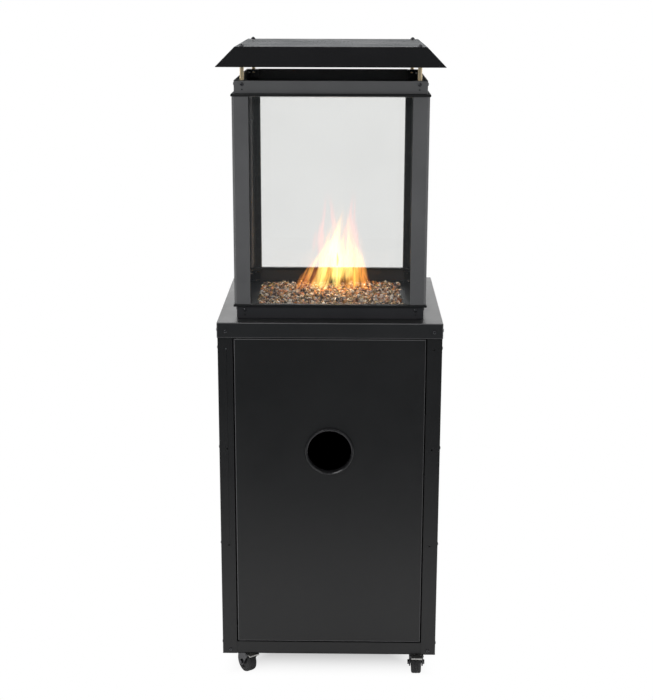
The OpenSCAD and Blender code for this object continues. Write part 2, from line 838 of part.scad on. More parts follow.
// Strips between the panes and the posts' legs
module glass_gaskets() {
    outer = min(pane_half, post_half - post_leg + gasket_w + 2);
    color(RUBBER) at_all_sides() for (side = [0, 1])
        mirror([side, 0, 0])
            block([outer - gasket_w, -pane_out - gasket_t, post_z0],
                [outer, -pane_out, pane_z1]);
}

// ---------------------------------------------------------------- roof

// A solid with four sloping sides: two prisms crossed
module hip(half0, half1, height) {
    intersection() {
        rotate([90, 0, 0]) translate([0, 0, -half0]) linear_extrude(2 * half0)
            polygon([[-half0, 0], [half0, 0], [half1, height], [-half1, height]]);
        rotate([90, 0, 90]) translate([0, 0, -half0]) linear_extrude(2 * half0)
            polygon([[-half0, 0], [half0, 0], [half1, height], [-half1, height]]);
    }
}

// Hipped sheet roof with a flat top, a hem folded in at the rim and four stud holes
module roof() {
    slope = roof_run / roof_rise;
    low = roof_half - slope * sheet - roof_wall_run;
    high = roof_half - slope * (roof_rise - sheet) - roof_wall_run;
    hole = roof_half - roof_hem;
    color(BLACK) translate([0, 0, rim_level]) difference() {
        hip(roof_half, roof_top_half, roof_rise);
        translate([0, 0, sheet]) hip(low, high, roof_rise - 2 * sheet);
        block([-hole, -hole, -CUT], [hole, hole, sheet + EPS]);
        at_all_corners()
            bar_z([-stud_c, -stud_c, roof_rise - 3 * sheet], stud_hole_r, 4 * sheet);
    }
}

// Turned brass standoffs with a threaded stud at each end
module roof_standoffs() {
    low = bracket_t + nut_h + stud_tail;
    high = sheet + cap_nut_bore;
    color(BRASS) at_all_corners() {
        bar_z([-stud_c, -stud_c, crown_z], standoff_d / 2, roof_z - sheet - crown_z);
        bar_z([-stud_c, -stud_c, crown_z - low], stud_r, low + 1);
        bar_z([-stud_c, -stud_c, roof_z - sheet - 1], stud_r, high + 1);
    }
}

// Plain nuts under the upper collar's brackets and domed nuts on the roof
module roof_nuts() {
    bore = stud_r + run_clear;
    color(STEEL) at_all_corners() {
        difference() {
            hexagon([-stud_c, -stud_c, crown_z - bracket_t - nut_h], nut_af, nut_h);
            bar_z([-stud_c, -stud_c, crown_z - bracket_t - nut_h - CUT], bore, nut_h + 2 * CUT);
        }
        difference() {
            translate([-stud_c, -stud_c, roof_z]) {
                cylinder(r = nut_af / sqrt(3), h = cap_nut_h, $fn = 6);
                translate([0, 0, cap_nut_h - EPS]) intersection() {
                    translate([0, 0, -dome_drop]) sphere(r = dome_r);
                    cylinder(r = nut_af, h = dome_r);
                }
            }
            bar_z([-stud_c, -stud_c, roof_z - CUT], bore, cap_nut_bore + slide_gap + CUT);
        }
    }
}

// ---------------------------------------------------------------- burner and gas

// Tray that hangs by its flange in the cabinet top, with holes for mixer and pilot
module burner_tray() {
    inside = tray_half - sheet;
    color(SATIN) difference() {
        union() {
            block([-tray_flange_half, -tray_flange_half, cabinet_top_z],
                [tray_flange_half, tray_flange_half, cabinet_top_z + sheet]);
            block([-tray_half, -tray_half, tray_floor], [tray_half, tray_half, cabinet_top_z]);
        }
        block([-inside, -inside, burner_z], [inside, inside, cabinet_top_z + sheet + CUT]);
        bar_z([0, 0, tray_floor - CUT], mixer_r + screw_clear, sheet + 2 * CUT);
        block([-pilot_half + 2, pilot_y - pilot_gap, tray_floor - CUT],
            [pilot_half - 2, pilot_y + pilot_gap, burner_z + CUT]);
    }
}

// Round pan burner with two rings of flame ports and a mixer tube with air slots
module burner() {
    r = burner_d / 2;
    wall = burner_wall;
    color(STEEL) difference() {
        union() {
            bar_z([0, 0, burner_z], r, burner_h);
            bar_z([0, 0, mixer_z], mixer_r, burner_z + wall - mixer_z);
        }
        bar_z([0, 0, burner_z + wall], r - wall, burner_h - 2 * wall);
        bar_z([0, 0, mixer_z + wall], mixer_r - wall, burner_z - mixer_z + wall);
        bar_z([0, 0, mixer_z - CUT], nozzle_r + run_clear, wall + 2 * CUT);
        for (i = [0:port_count - 1])
            rotate(360 * i / port_count)
                bar_z([r - port_inset, 0, burner_z + burner_h - wall - CUT], port_r,
                    wall + 2 * CUT);
        for (i = [0:port_count / 2 - 1])
            rotate(360 * 2 * i / port_count)
                bar_z([r / 2, 0, burner_z + burner_h - wall - CUT], port_r, wall + 2 * CUT);
        for (turn = [0, 90])
            rotate(turn)
                block([-mixer_d, -air_slot_half, mixer_z + air_slot_z],
                    [mixer_d, air_slot_half, mixer_z + air_slot_z + air_slot_h]);
    }
}

// Bed of fire glass that fills the tray around and over the burner
module fire_glass() {
    inside = tray_half - sheet - slide_gap;
    color(AMBER) difference() {
        block([-inside, -inside, burner_z], [inside, inside, bed_z]);
        bar_z([0, 0, burner_z - CUT], burner_d / 2 + slide_gap, burner_h + slide_gap + CUT);
        block([-pilot_half - slide_gap, pilot_y - pilot_gap - slide_gap, burner_z - CUT],
            [pilot_half + slide_gap, pilot_y + pilot_gap + slide_gap, bed_z + CUT]);
    }
}

// Brass injector below the mixer tube
module injector() {
    color(BRASS) {
        bar_z([0, 0, mixer_z - EPS], nozzle_r, nozzle_length);
        hexagon([0, 0, mixer_z - injector_h], 2 * injector_r * sqrt(3) / 2, injector_h);
    }
}

// Rigid pipes from the valve: the main one to the injector, the thin one to the pilot
module gas_pipes() {
    side_x = knob_x - valve_w / 2;
    far_x = side_x - pipe_side;
    low_z = mixer_z - injector_h - pipe_drop;
    color(STEEL) pipe([
        [side_x, valve_y, control_z], [far_x, valve_y, control_z],
        [far_x, valve_y, low_z], [far_x, 0, low_z],
        [0, 0, low_z], [0, 0, mixer_z - injector_h]
    ], pipe_d / 2, pipe_bend_r);
    color(STEEL) pipe([
        [knob_x, valve_y, control_z + valve_h / 2], [knob_x, valve_y, pilot_pipe_z],
        [-pilot_half / 2, pilot_y, pilot_pipe_z], [-pilot_half / 2, pilot_y, pilot_low]
    ], lead_d / 2, lead_bend_r);
}

// Pilot: a bracket under the tray that carries a small brass burner with a hood
module pilot_burner() {
    x = -pilot_half / 2;
    wide = pilot_half + pilot_bracket_edge;
    deep = pilot_gap + pilot_bracket_edge;
    low = tray_floor - pilot_bracket_t;
    color(BRASS) union() {
        difference() {
            block([-wide, pilot_y - deep, low], [wide, pilot_y + deep, tray_floor]);
            for (hole_x = [0, -x])
                bar_z([hole_x, pilot_y, low - CUT], probe_r + run_clear,
                    pilot_bracket_t + 2 * CUT);
        }
        bar_z([x, pilot_y, pilot_low], pilot_tube_r, hood_low + CUT - pilot_low);
        block([x - hood_half, pilot_y - hood_half, hood_low],
            [x + hood_half, pilot_y + hood_half, hood_low + hood_h]);
    }
}

// Thermocouple: a probe in the pilot bracket and its lead to the valve
module thermocouple() {
    end_x = knob_x + valve_w / 4;
    color(STEEL) {
        bar_z([0, pilot_y, probe_low], probe_r, probe_top - probe_low);
        pipe([
            [0, pilot_y, probe_low - EPS], [0, pilot_y, probe_lead_z],
            [end_x, pilot_y, probe_lead_z], [end_x, valve_y, probe_lead_z],
            [end_x, valve_y, control_z + valve_h / 2]
        ], lead_d / 2, lead_bend_r, 8);
    }
}

// Ceramic spark electrode in the pilot bracket and its lead to the igniter
module spark_electrode() {
    x = pilot_half / 2;
    back = plate_face - igniter_length - slide_gap;
    color("white") {
        bar_z([x, pilot_y, probe_low], probe_r, insulator_top - probe_low);
        bar_z([x, pilot_y, insulator_top - CUT], spark_tip_r, spark_tip_length);
    }
    color(RUBBER) pipe([
        [x, pilot_y, probe_low - EPS], [x, pilot_y, spark_lead_z],
        [button_x, pilot_y, spark_lead_z], [button_x, pilot_y, control_z],
        [button_x, back, control_z]
    ], lead_d / 2, lead_bend_r, 8);
}

// Control valve behind the recess, with a boss through the plate for the spindle
module gas_valve() {
    color(STEEL) difference() {
        union() {
            block([knob_x - valve_w / 2, recess_floor - valve_depth, control_z - valve_h / 2],
                [knob_x + valve_w / 2, recess_floor, control_z + valve_h / 2]);
            bar_y([knob_x, recess_floor - CUT, control_z], boss_d / 2,
                plate_face + boss_h - recess_floor + CUT);
        }
        bar_y([knob_x, recess_floor - valve_bore, control_z], spindle_d / 2 + run_clear,
            valve_bore + sheet + boss_h + CUT);
    }
}

// Valve spindle with a flat for the knob
module valve_spindle() {
    start = recess_floor - valve_bore + slide_gap;
    r = spindle_d / 2;
    color(STEEL) difference() {
        bar_y([knob_x, start, control_z], r, spindle_y - start);
        block([knob_x - r, knob_y - knob_travel, control_z + r - spindle_flat],
            [knob_x + r, spindle_y + CUT, control_z + r + CUT]);
    }
}

// Control knob with a skirt, a grip bar across it and a blind bore with a flat
module control_knob() {
    r = knob_d / 2;
    bore = spindle_d / 2 + run_clear;
    depth = knob_h - knob_wall;
    flat = spindle_d / 2 - spindle_flat + run_clear;
    color(RUBBER) translate([knob_x, knob_y, control_z]) rotate([-90, 0, 0]) difference() {
        union() {
            cylinder(r = r, h = knob_skirt);
            cylinder(r = r * knob_body, h = knob_h - knob_crown);
            translate([-knob_grip_w / 2, -r * knob_grip, 0])
                cube([knob_grip_w, 2 * r * knob_grip, knob_h]);
        }
        difference() {
            translate([0, 0, -CUT]) cylinder(r = bore, h = depth + CUT);
            translate([-r, -r - flat, -2 * CUT]) cube([2 * r, r, depth + 4 * CUT]);
        }
    }
}

// Brass inlet under the valve with a hose tail for the cylinder's hose
module inlet_fitting() {
    z0 = inlet_z - inlet_nut_h;
    bore = hose_tail_d / 2 - hose_tail_wall;
    color(BRASS) difference() {
        union() {
            hexagon([knob_x, valve_y, z0], inlet_nut_af, inlet_nut_h);
            bar_z([knob_x, valve_y, z0 - hose_tail_length], hose_tail_d / 2,
                hose_tail_length + 1);
        }
        bar_z([knob_x, valve_y, z0 - hose_tail_length - CUT], bore,
            hose_tail_length + inlet_nut_h / 2);
    }
}

// Recessed plate for the controls, with a flange over the rear panel's opening
module control_plate() {
    w = recess_w / 2;
    h = recess_h / 2;
    wide = w + recess_flange;
    high = h + recess_flange;
    gap = panel_gap;
    color(SATIN) difference() {
        union() {
            block([-wide, inner_face, control_z - high], [wide, post_face, control_z + high]);
            block([-w + gap, recess_floor, control_z - h + gap],
                [w - gap, inner_face + EPS, control_z + h - gap]);
        }
        block([-w + gap + sheet, plate_face, control_z - h + gap + sheet],
            [w - gap - sheet, post_face + CUT, control_z + h - gap - sheet]);
        bar_y([knob_x, recess_floor - CUT, control_z], boss_d / 2 + screw_clear,
            sheet + 2 * CUT);
        bar_y([button_x, recess_floor - CUT, control_z], igniter_d / 2 + screw_clear,
            sheet + 2 * CUT);
        for (x = [-1, 1], z = [-1, 1])
            bar_y([x * (w + recess_flange / 2), inner_face - CUT,
                control_z + z * (h + recess_flange / 2)], hole_r, sheet + 2 * CUT);
    }
}

// Piezo igniter: a barrel through the plate with a ring in front and a nut behind
module igniter_body() {
    back = plate_face - igniter_length;
    bore_length = button_inside + button_travel + slide_gap;
    color(RUBBER) difference() {
        union() {
            bar_y([button_x, back, control_z], igniter_d / 2, igniter_length + 1);
            bar_y([button_x, plate_face, control_z], igniter_ring_d / 2, igniter_ring_h);
        }
        bar_y([button_x, plate_face + igniter_ring_h - bore_length, control_z],
            button_d / 2 + run_clear, bore_length + CUT);
    }
    color(RUBBER) difference() {
        bar_y([button_x, recess_floor - igniter_nut_h, control_z], igniter_ring_d / 2,
            igniter_nut_h);
        bar_y([button_x, recess_floor - igniter_nut_h - CUT, control_z],
            igniter_d / 2 + run_clear, igniter_nut_h + 2 * CUT);
    }
}

module igniter_button() {
    start = plate_face + igniter_ring_h - button_inside;
    color("firebrick")
        bar_y([button_x, start, control_z], button_d / 2, button_inside + button_proud);
}

// Tilt switch inside the rear panel, above the floor pan
module tilt_switch() {
    x0 = half - tilt_inset;
    back = inner_face - sheet;
    z0 = pan_z + tilt_rise;
    color(RUBBER)
        block([x0, back - tilt_depth, z0], [x0 + tilt_w, back, z0 + tilt_h]);
}

// ---------------------------------------------------------------- casters

// Plates with a raceway below them, one at each corner under the floor pan
module caster_plates() {
    side = caster_plate_side / 2;
    color(STEEL) at_all_corners() translate([-caster_c, -caster_c, 0]) difference() {
        union() {
            block([-side, -side, plate_z - plate_t], [side, side, plate_z]);
            bar_z([0, 0, race_z], race_r, race_h + CUT);
        }
        bar_z([0, 0, race_z - CUT], kingpin_r + run_clear, race_h + plate_t + 2 * CUT);
        for (x = [-1, 1], y = [-1, 1])
            bar_z([x * caster_bolt_pitch / 2, y * caster_bolt_pitch / 2, race_z], stud_hole_r,
                race_h + plate_t + CUT);
    }
}

// Bolts with a hexagon head below each plate and a nut on the floor pan
module caster_bolts() {
    low = plate_z - plate_t;
    color(STEEL) at_all_corners() translate([-caster_c, -caster_c, 0])
        for (x = [-1, 1], y = [-1, 1])
            translate([x * caster_bolt_pitch / 2, y * caster_bolt_pitch / 2, 0]) {
                hexagon([0, 0, low - bolt_head_h], nut_af, bolt_head_h);
                bar_z([0, 0, low - CUT], stud_r, pan_z + nut_h + stud_tail - low);
                difference() {
                    hexagon([0, 0, pan_z], nut_af, nut_h);
                    bar_z([0, 0, pan_z - CUT], stud_r + run_clear, nut_h + 2 * CUT);
                }
            }
}

// What is modelled with the pivot at the origin and the wheel trailing towards -Y
module at_caster(index) {
    corner = CORNERS[index];
    translate([corner[0] * caster_c, corner[1] * caster_c, 0])
        rotate(caster_turns[index]) children();
}

// A bar across the caster, square to its wheel
module cross_bar(u, z, r, half_length) {
    bar_x([-half_length, -u, z], r, 2 * half_length);
}

// Fork with its kingpin, the axle bolt and, where there is a brake, the pedal's pin
module caster_fork(index, braked) {
    hip_z = skirt_z;
    top_w = 12;
    top_edge = 8;
    foot = axle_d / 2 + 6;
    bolt_end = 1.5;
    nut_t = 3.5;
    pin_end = 0.8;
    color(STEEL) at_caster(index) {
        difference() {
            union() {
                bar_z([0, 0, fork_z - fork_top_t], fork_disc_r, fork_top_t);
                bar_z([0, 0, fork_z - 1], kingpin_r, plate_z - fork_z + 1 - slide_gap);
                for (side = [-fork_outer, fork_inner])
                    translate([side, 0, 0]) rotate([90, 0, -90]) mirror([0, 0, 1])
                        linear_extrude(fork_t) union() {
                            polygon(concat(
                                [[-top_w, fork_z], [-top_w, fork_z - top_edge],
                                    [caster_trail - foot + 1, wheel_r + 2],
                                    [caster_trail - 2, wheel_r - foot + 1],
                                    [caster_trail + foot - 2, wheel_r - 2]],
                                braked
                                    ? [[pedal_u + 4, pedal_z - 3], [pedal_u + 4, pedal_z + 3]]
                                    : [[caster_trail + foot - 1, wheel_r + foot]],
                                [[caster_trail + foot - 1, hip_z], [top_w, fork_z]]
                            ));
                            translate([caster_trail, wheel_r]) circle(r = foot);
                        }
            }
            cross_bar(caster_trail, wheel_r, axle_r + run_clear, fork_outer + CUT);
            if (braked) cross_bar(pedal_u, pedal_z, pedal_pin_r + run_clear, fork_outer + CUT);
        }
        cross_bar(caster_trail, wheel_r, axle_r, fork_outer + bolt_end);
        for (side = [0, 1])
            mirror([side, 0, 0]) translate([fork_outer + run_clear, -caster_trail, wheel_r])
                rotate([0, 90, 0]) cylinder(r = (axle_d + 4) / sqrt(3), h = nut_t, $fn = 6);
        if (braked) cross_bar(pedal_u, pedal_z, pedal_pin_r, fork_outer + pin_end);
    }
}

// Wheel with rounded shoulders, dished sides and a bore for the axle
module caster_wheel(index) {
    w = wheel_width / 2;
    round = 4;
    hub = axle_r + 4;
    dish = 3;
    slope = 1.5;
    rim = wheel_r - 8;
    steps = 4;
    shoulder = [for (i = [0:steps])
        let (a = 90 * i / steps)
        [wheel_r - round + round * sin(a), w - round + round * cos(a)]];
    color(RUBBER) at_caster(index) translate([0, -caster_trail, wheel_r]) rotate([0, 90, 0])
        rotate_extrude($fn = 64) polygon(concat(
            [[axle_r + run_clear, w], [hub, w], [hub + slope, w - dish], [rim, w - dish],
                [rim + slope, w]],
            shoulder,
            [for (i = [steps:-1:0]) [shoulder[i][0], -shoulder[i][1]]],
            [[rim + slope, -w], [rim, -w + dish], [hub + slope, -w + dish], [hub, -w],
                [axle_r + run_clear, -w]]
        ));
}

// Foot pedal of the brake: a hub on its pin and a plate that the toe presses
module brake_pedal(index) {
    w = fork_inner - slide_gap;
    tip = pedal_u + pedal_reach;
    hub_top = pedal_z + pedal_hub_r;
    tip_z = pedal_z + pedal_t / 2;
    color(RUBBER) at_caster(index) difference() {
        union() {
            cross_bar(pedal_u, pedal_z, pedal_hub_r, w);
            translate([-w, 0, 0]) rotate([90, 0, -90]) mirror([0, 0, 1])
                linear_extrude(2 * w) polygon([
                    [pedal_u, hub_top - pedal_t], [pedal_u, hub_top - run_clear],
                    [tip, tip_z], [tip, tip_z - pedal_t]
                ]);
        }
        cross_bar(pedal_u, pedal_z, pedal_pin_r + run_clear, w + CUT);
    }
}

// ---------------------------------------------------------------- nodes

cabinet_top();
corner_post(CORNERS[0]);  // corner_post_front_left
corner_post(CORNERS[1]);  // corner_post_front_right
corner_post(CORNERS[2]);  // corner_post_rear_left
corner_post(CORNERS[3]);  // corner_post_rear_right
side_panel(-1);  // side_panel_left
side_panel(1);  // side_panel_right
rear_panel();
floor_pan();
panel_screws();
door_panel();
door_bezel();
door_pivot_pins();
door_pivot_brackets();
door_catch();
lower_collar();
upper_collar();
collar_brackets();
collar_screws();
lantern_end_frames();
lantern_post(CORNERS[0]);  // lantern_post_front_left
lantern_post(CORNERS[1]);  // lantern_post_front_right
lantern_post(CORNERS[2]);  // lantern_post_rear_left
lantern_post(CORNERS[3]);  // lantern_post_rear_right
glass_pane(0);  // glass_front
glass_pane(180);  // glass_rear
glass_pane(-90);  // glass_left
glass_pane(90);  // glass_right
glass_gaskets();
roof();
roof_standoffs();
roof_nuts();
burner_tray();
burner();
fire_glass();
injector();
gas_pipes();
pilot_burner();
thermocouple();
spark_electrode();
gas_valve();
valve_spindle();
control_knob();
inlet_fitting();
control_plate();
igniter_body();
igniter_button();
tilt_switch();
caster_plates();
caster_bolts();
caster_fork(0, true);  // caster_fork_front_left
caster_fork(1, true);  // caster_fork_front_right
caster_fork(2, false);  // caster_fork_rear_left
caster_fork(3, false);  // caster_fork_rear_right
caster_wheel(0);  // caster_wheel_front_left
caster_wheel(1);  // caster_wheel_front_right
caster_wheel(2);  // caster_wheel_rear_left
caster_wheel(3);  // caster_wheel_rear_right
brake_pedal(0);  // brake_pedal_front_left
brake_pedal(1);  // brake_pedal_front_right
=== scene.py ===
import itertools
import json
import math
import random

import bmesh
import bpy
from bpy.props import FloatProperty, FloatVectorProperty, IntProperty, PointerProperty
from mathutils import Matrix, Vector

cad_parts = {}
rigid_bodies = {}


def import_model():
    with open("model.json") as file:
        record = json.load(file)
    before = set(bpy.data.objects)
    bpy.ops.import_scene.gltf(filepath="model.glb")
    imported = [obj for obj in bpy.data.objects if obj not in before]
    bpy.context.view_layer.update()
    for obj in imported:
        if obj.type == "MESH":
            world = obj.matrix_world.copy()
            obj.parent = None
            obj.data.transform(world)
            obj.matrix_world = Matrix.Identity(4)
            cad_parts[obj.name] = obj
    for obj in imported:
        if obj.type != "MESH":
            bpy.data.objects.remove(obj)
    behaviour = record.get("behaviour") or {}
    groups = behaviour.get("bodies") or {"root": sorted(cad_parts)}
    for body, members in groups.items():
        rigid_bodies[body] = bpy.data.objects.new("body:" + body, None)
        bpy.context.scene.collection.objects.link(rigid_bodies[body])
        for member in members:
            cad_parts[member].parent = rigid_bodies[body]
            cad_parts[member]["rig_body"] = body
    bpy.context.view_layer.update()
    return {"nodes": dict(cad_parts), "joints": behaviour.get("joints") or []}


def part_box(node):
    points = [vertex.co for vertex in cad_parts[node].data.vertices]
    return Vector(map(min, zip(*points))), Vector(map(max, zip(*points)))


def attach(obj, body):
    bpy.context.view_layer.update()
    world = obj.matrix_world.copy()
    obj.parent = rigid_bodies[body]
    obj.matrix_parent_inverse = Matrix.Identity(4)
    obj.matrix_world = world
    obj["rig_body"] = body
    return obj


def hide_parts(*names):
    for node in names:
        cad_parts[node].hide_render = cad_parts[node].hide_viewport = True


bl_info = {
    "name": "Gas flame lantern heater",
    "version": (1, 0, 0),
    "blender": (4, 5, 0),
    "location": "View3D > Sidebar > Heater",
    "description": "Finishes a square gas flame lantern heater around its packed frame",
    "category": "Object",
}

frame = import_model()

WELD = 1e-5
MM = 0.001
CORNERS = ("front_left", "front_right", "rear_left", "rear_right")
SIDES = ("front", "rear", "left", "right")


# ---------------- sizes and colours

def distance(name, description, default):
    return FloatProperty(name=name, description=description, default=default, subtype="DISTANCE",
                         unit="LENGTH", min=0)


def colour(name, description, default):
    return FloatVectorProperty(name=name, description=description, default=default,
                               size=3, min=0, max=1, subtype="COLOR")


class HeaterSizes(bpy.types.PropertyGroup):
    """Sizes of the small shapes that the frame leaves open."""

    bend_radius: distance("Bend radius", "Outside radius of the folded sheet's bends", 1.6 * MM)
    edge_break: distance("Edge break", "Rounding of raw sheet edges and corners", 0.3 * MM)
    chip_size: distance("Chip size", "Mean size of a piece of fire glass", 8.5 * MM)
    chip_layers: IntProperty(
        name="Chip layers", description="Layers of fire glass pieces that are modelled",
        default=2, min=1, max=4)
    flame_height: distance("Flame height", "Height of the tallest flame above the fire glass", 0.2)
    flame_width: distance("Flame width", "Width of the flames at the fire glass", 0.16)
    flame_depth: distance("Flame place", "How far behind the lantern's middle the flame stands", 0.08)


class HeaterColours(bpy.types.PropertyGroup):
    """Colours of the heater's finishes."""

    coat: colour("Powder coat", "Black powder coat on the sheet metal", (0.0075, 0.0075, 0.008))
    # Painted highlight: the lighter coat on the folded bends stands in for the light that the bends catch.
    worn: colour("Worn coat", "Powder coat rubbed thin on the folded bends", (0.075, 0.075, 0.078))
    collar: colour("Collar coat", "Powder coat on the lower collar", (0.024, 0.024, 0.027))
    satin: colour("Satin coat", "Dark grey coat on the posts and upper collar", (0.082, 0.083, 0.086))
    glass: colour("Glass", "Tint of the glass panes", (0.93, 0.933, 0.925))
    steel: colour("Steel", "Zinc-plated screws and nuts", (0.62, 0.61, 0.60))
    dark_steel: colour("Dark steel", "Black-plated screws and forks", (0.075, 0.075, 0.08))
    brass: colour("Brass", "Turned brass", (0.97, 0.78, 0.50))
    stainless: colour("Stainless", "Burner, caster plates and brake pedals", (0.55, 0.54, 0.52))
    aluminium: colour("Aluminium", "Gas valve and pipes", (0.66, 0.66, 0.67))
    copper: colour("Copper", "Thermocouple lead", (0.72, 0.36, 0.20))
    rubber: colour("Rubber", "Caster treads and seals", (0.014, 0.014, 0.015))
    plastic: colour("Plastic", "Black moulded plastic", (0.013, 0.013, 0.014))
    button: colour("Button", "Igniter button", (0.40, 0.025, 0.02))
    ceramic: colour("Ceramic", "Electrode insulator", (0.80, 0.77, 0.70))
    marks: colour("Marks", "Dial marks", (0.75, 0.75, 0.73))
    floor: colour("Floor", "Studio floor", (0.93, 0.93, 0.93))


def sizes():
    return bpy.context.scene.heater_sizes


def colours():
    return bpy.context.scene.heater_colours


# ---------------- modelling helpers

def only(piece):
    """Selects one object and nothing else."""
    bpy.ops.object.select_all(action="DESELECT")
    piece.select_set(True)
    bpy.context.view_layer.objects.active = piece


def edit(piece):
    only(piece)
    bpy.ops.object.mode_set(mode="EDIT")
    bpy.ops.mesh.select_all(action="DESELECT")


def leave():
    bpy.ops.object.mode_set(mode="OBJECT")


def modify(piece, kind, **settings):
    """Adds one modifier and applies it."""
    only(piece)
    modifier = piece.modifiers.new(kind.title(), kind)
    for name, value in settings.items():
        setattr(modifier, name, value)
    bpy.ops.object.modifier_apply(modifier=modifier.name)
    return piece


def smooth(piece, angle=40):
    """Smooth shading that keeps flat faces flat."""
    only(piece)
    bpy.ops.object.shade_smooth_by_angle(angle=math.radians(angle), keep_sharp_edges=False)
    return modify(piece, "WEIGHTED_NORMAL", keep_sharp=True, weight=80)


def soften(piece, width, segments=2, angle=30):
    """Rounds the sharp edges of a finished shape."""
    modify(piece, "BEVEL", width=width, segments=segments, limit_method="ANGLE",
           angle_limit=math.radians(angle), use_clamp_overlap=True)
    return smooth(piece)


def settle(piece):
    """Moves a piece's place into its mesh, so that the object sits unturned at the origin."""
    only(piece)
    bpy.ops.object.transform_apply(location=True, rotation=True, scale=True)
    return piece


def placed(piece, matrix):
    piece.data.transform(matrix)
    return piece


def copy_of(piece, matrix=None):
    """A copy with its own mesh, moved by the matrix."""
    twin = bpy.data.objects.new(piece.name, piece.data.copy())
    bpy.context.scene.collection.objects.link(twin)
    if matrix is not None:
        twin.data.transform(matrix)
    return twin


def joined(pieces, name):
    """Joins pieces into one object of that name."""
    bpy.ops.object.select_all(action="DESELECT")
    for piece in pieces:
        piece.select_set(True)
    bpy.context.view_layer.objects.active = pieces[0]
    if len(pieces) > 1:
        bpy.ops.object.join()
    pieces[0].name = name
    return pieces[0]


def removed(*pieces):
    for piece in pieces:
        bpy.data.objects.remove(piece)


def fresh(operator, name, **settings):
    """Runs an operator that adds a mesh, with nothing else selected, and names what it adds."""
    bpy.ops.object.select_all(action="DESELECT")
    operator(**settings)
    piece = bpy.context.active_object
    piece.name = name
    return piece


def turned(name, profile, steps=48):
    """Spins a profile of (radius, height) points round the Z axis."""
    piece = fresh(bpy.ops.mesh.primitive_plane_add, name, size=0.01)
    bpy.ops.object.mode_set(mode="EDIT")
    bpy.ops.mesh.select_all(action="SELECT")
    bpy.ops.mesh.merge(type="CENTER")
    bpy.ops.transform.translate(value=(profile[0][0], 0, profile[0][1]))
    for (r0, z0), (r1, z1) in zip(profile, profile[1:]):
        bpy.ops.mesh.extrude_region_move(TRANSFORM_OT_translate={"value": (r1 - r0, 0, z1 - z0)})
    bpy.ops.mesh.select_all(action="SELECT")
    bpy.ops.mesh.spin(steps=steps, angle=2 * math.pi, center=(0, 0, 0), axis=(0, 0, 1))
    bpy.ops.mesh.select_all(action="SELECT")
    bpy.ops.mesh.remove_doubles(threshold=WELD)
    bpy.ops.mesh.normals_make_consistent(inside=False)
    leave()
    return piece


def prism(name, sides, radius, depth):
    """An upright prism that starts at height 0, with a flat facing -Y."""
    return settle(fresh(bpy.ops.mesh.primitive_cylinder_add, name, vertices=sides, radius=radius,
                        depth=depth, location=(0, 0, depth / 2), rotation=(0, 0, math.pi / sides)))


def bar(name, low, high):
    """A rectangular bar between two corners."""
    low, high = Vector(low), Vector(high)
    piece = fresh(bpy.ops.mesh.primitive_cube_add, name, size=1, location=(low + high) / 2)
    piece.scale = high - low
    return settle(piece)


def cut(piece, tool):
    """Takes the tool's volume out of the piece."""
    modify(piece, "BOOLEAN", operation="DIFFERENCE", solver="EXACT", object=tool)
    removed(tool)
    return piece


def hex_nut(across, height, middle, z):
    """A nut with its corners chamfered at both ends, on the level z."""
    nut = prism("nut", 6, across / math.sqrt(3), height)
    r, wide, chamfer = across * 0.5, across * 0.6, height * 0.16
    cone = turned("nut_chamfer", [(0, 0), (r, 0), (wide, chamfer), (wide, height - chamfer), (r, height),
                                  (0, height)], 32)
    modify(nut, "BOOLEAN", operation="INTERSECT", solver="EXACT", object=cone)
    removed(cone)
    soften(nut, 0.15 * MM, 2, 25)
    return placed(nut, Matrix.Translation((middle.x, middle.y, z)))


def select_top(piece):
    """Selects the faces of a piece in edit mode that look up."""
    mesh = bmesh.from_edit_mesh(piece.data)
    for face in mesh.faces:
        face.select_set(face.normal.z > 0.9)
    mesh.select_flush_mode()
    bmesh.update_edit_mesh(piece.data)


def mark(piece, name, value):
    """Gives a piece an attribute that its material reads."""
    layer = piece.data.attributes.new(name, "FLOAT", "POINT")
    layer.data.foreach_set("value", [value] * len(piece.data.vertices))
    return piece


def islands(node):
    """The lowest and highest corner of each separate solid in a CAD node."""
    mesh = bmesh.new()
    mesh.from_mesh(frame["nodes"][node].data)
    bmesh.ops.remove_doubles(mesh, verts=mesh.verts, dist=WELD)
    unseen = set(mesh.verts)
    boxes = []
    while unseen:
        queue = [unseen.pop()]
        group = []
        while queue:
            vert = queue.pop()
            group.append(vert.co.copy())
            for line in vert.link_edges:
                other = line.other_vert(vert)
                if other in unseen:
                    unseen.remove(other)
                    queue.append(other)
        boxes.append((Vector(map(min, *group)), Vector(map(max, *group))))
    mesh.free()
    return sorted(boxes, key=lambda b: [round(c, 5) for c in (*b[0], *b[1])])


def facing(direction, place):
    """A matrix that turns +Z to the direction and moves to the place."""
    turn = Vector((0, 0, 1)).rotation_difference(Vector(direction))
    return Matrix.Translation(place) @ turn.to_matrix().to_4x4()


def body_of(node):
    return frame["nodes"][node]["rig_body"]


def extra(piece, finish, node):
    """Gives a piece its finish, and the body of a CAD node."""
    piece.data.materials.clear()
    piece.data.materials.append(material(finish))
    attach(piece, body_of(node))
    return piece


def finished(piece, finish, node):
    """The same, for a piece that also takes the node's place."""
    extra(piece, finish, node)
    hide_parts(node)
    return piece


# ---------------- sheet metal from the frame

NARROW = 2.3 * MM  # a face narrower than this is the raw edge of a sheet
SHEET = 1.2 * MM
SCREW_HEAD = 2.2 * MM  # height of a screw's head
FLAT = 0.985  # the largest part of a normal, from which a face counts as flat and not as a bend
SMEAR = 0.985  # how much light a smeared part of the glass lets through, as a share of the clear part
SHARP = math.radians(28)  # the angle from which an edge is rounded


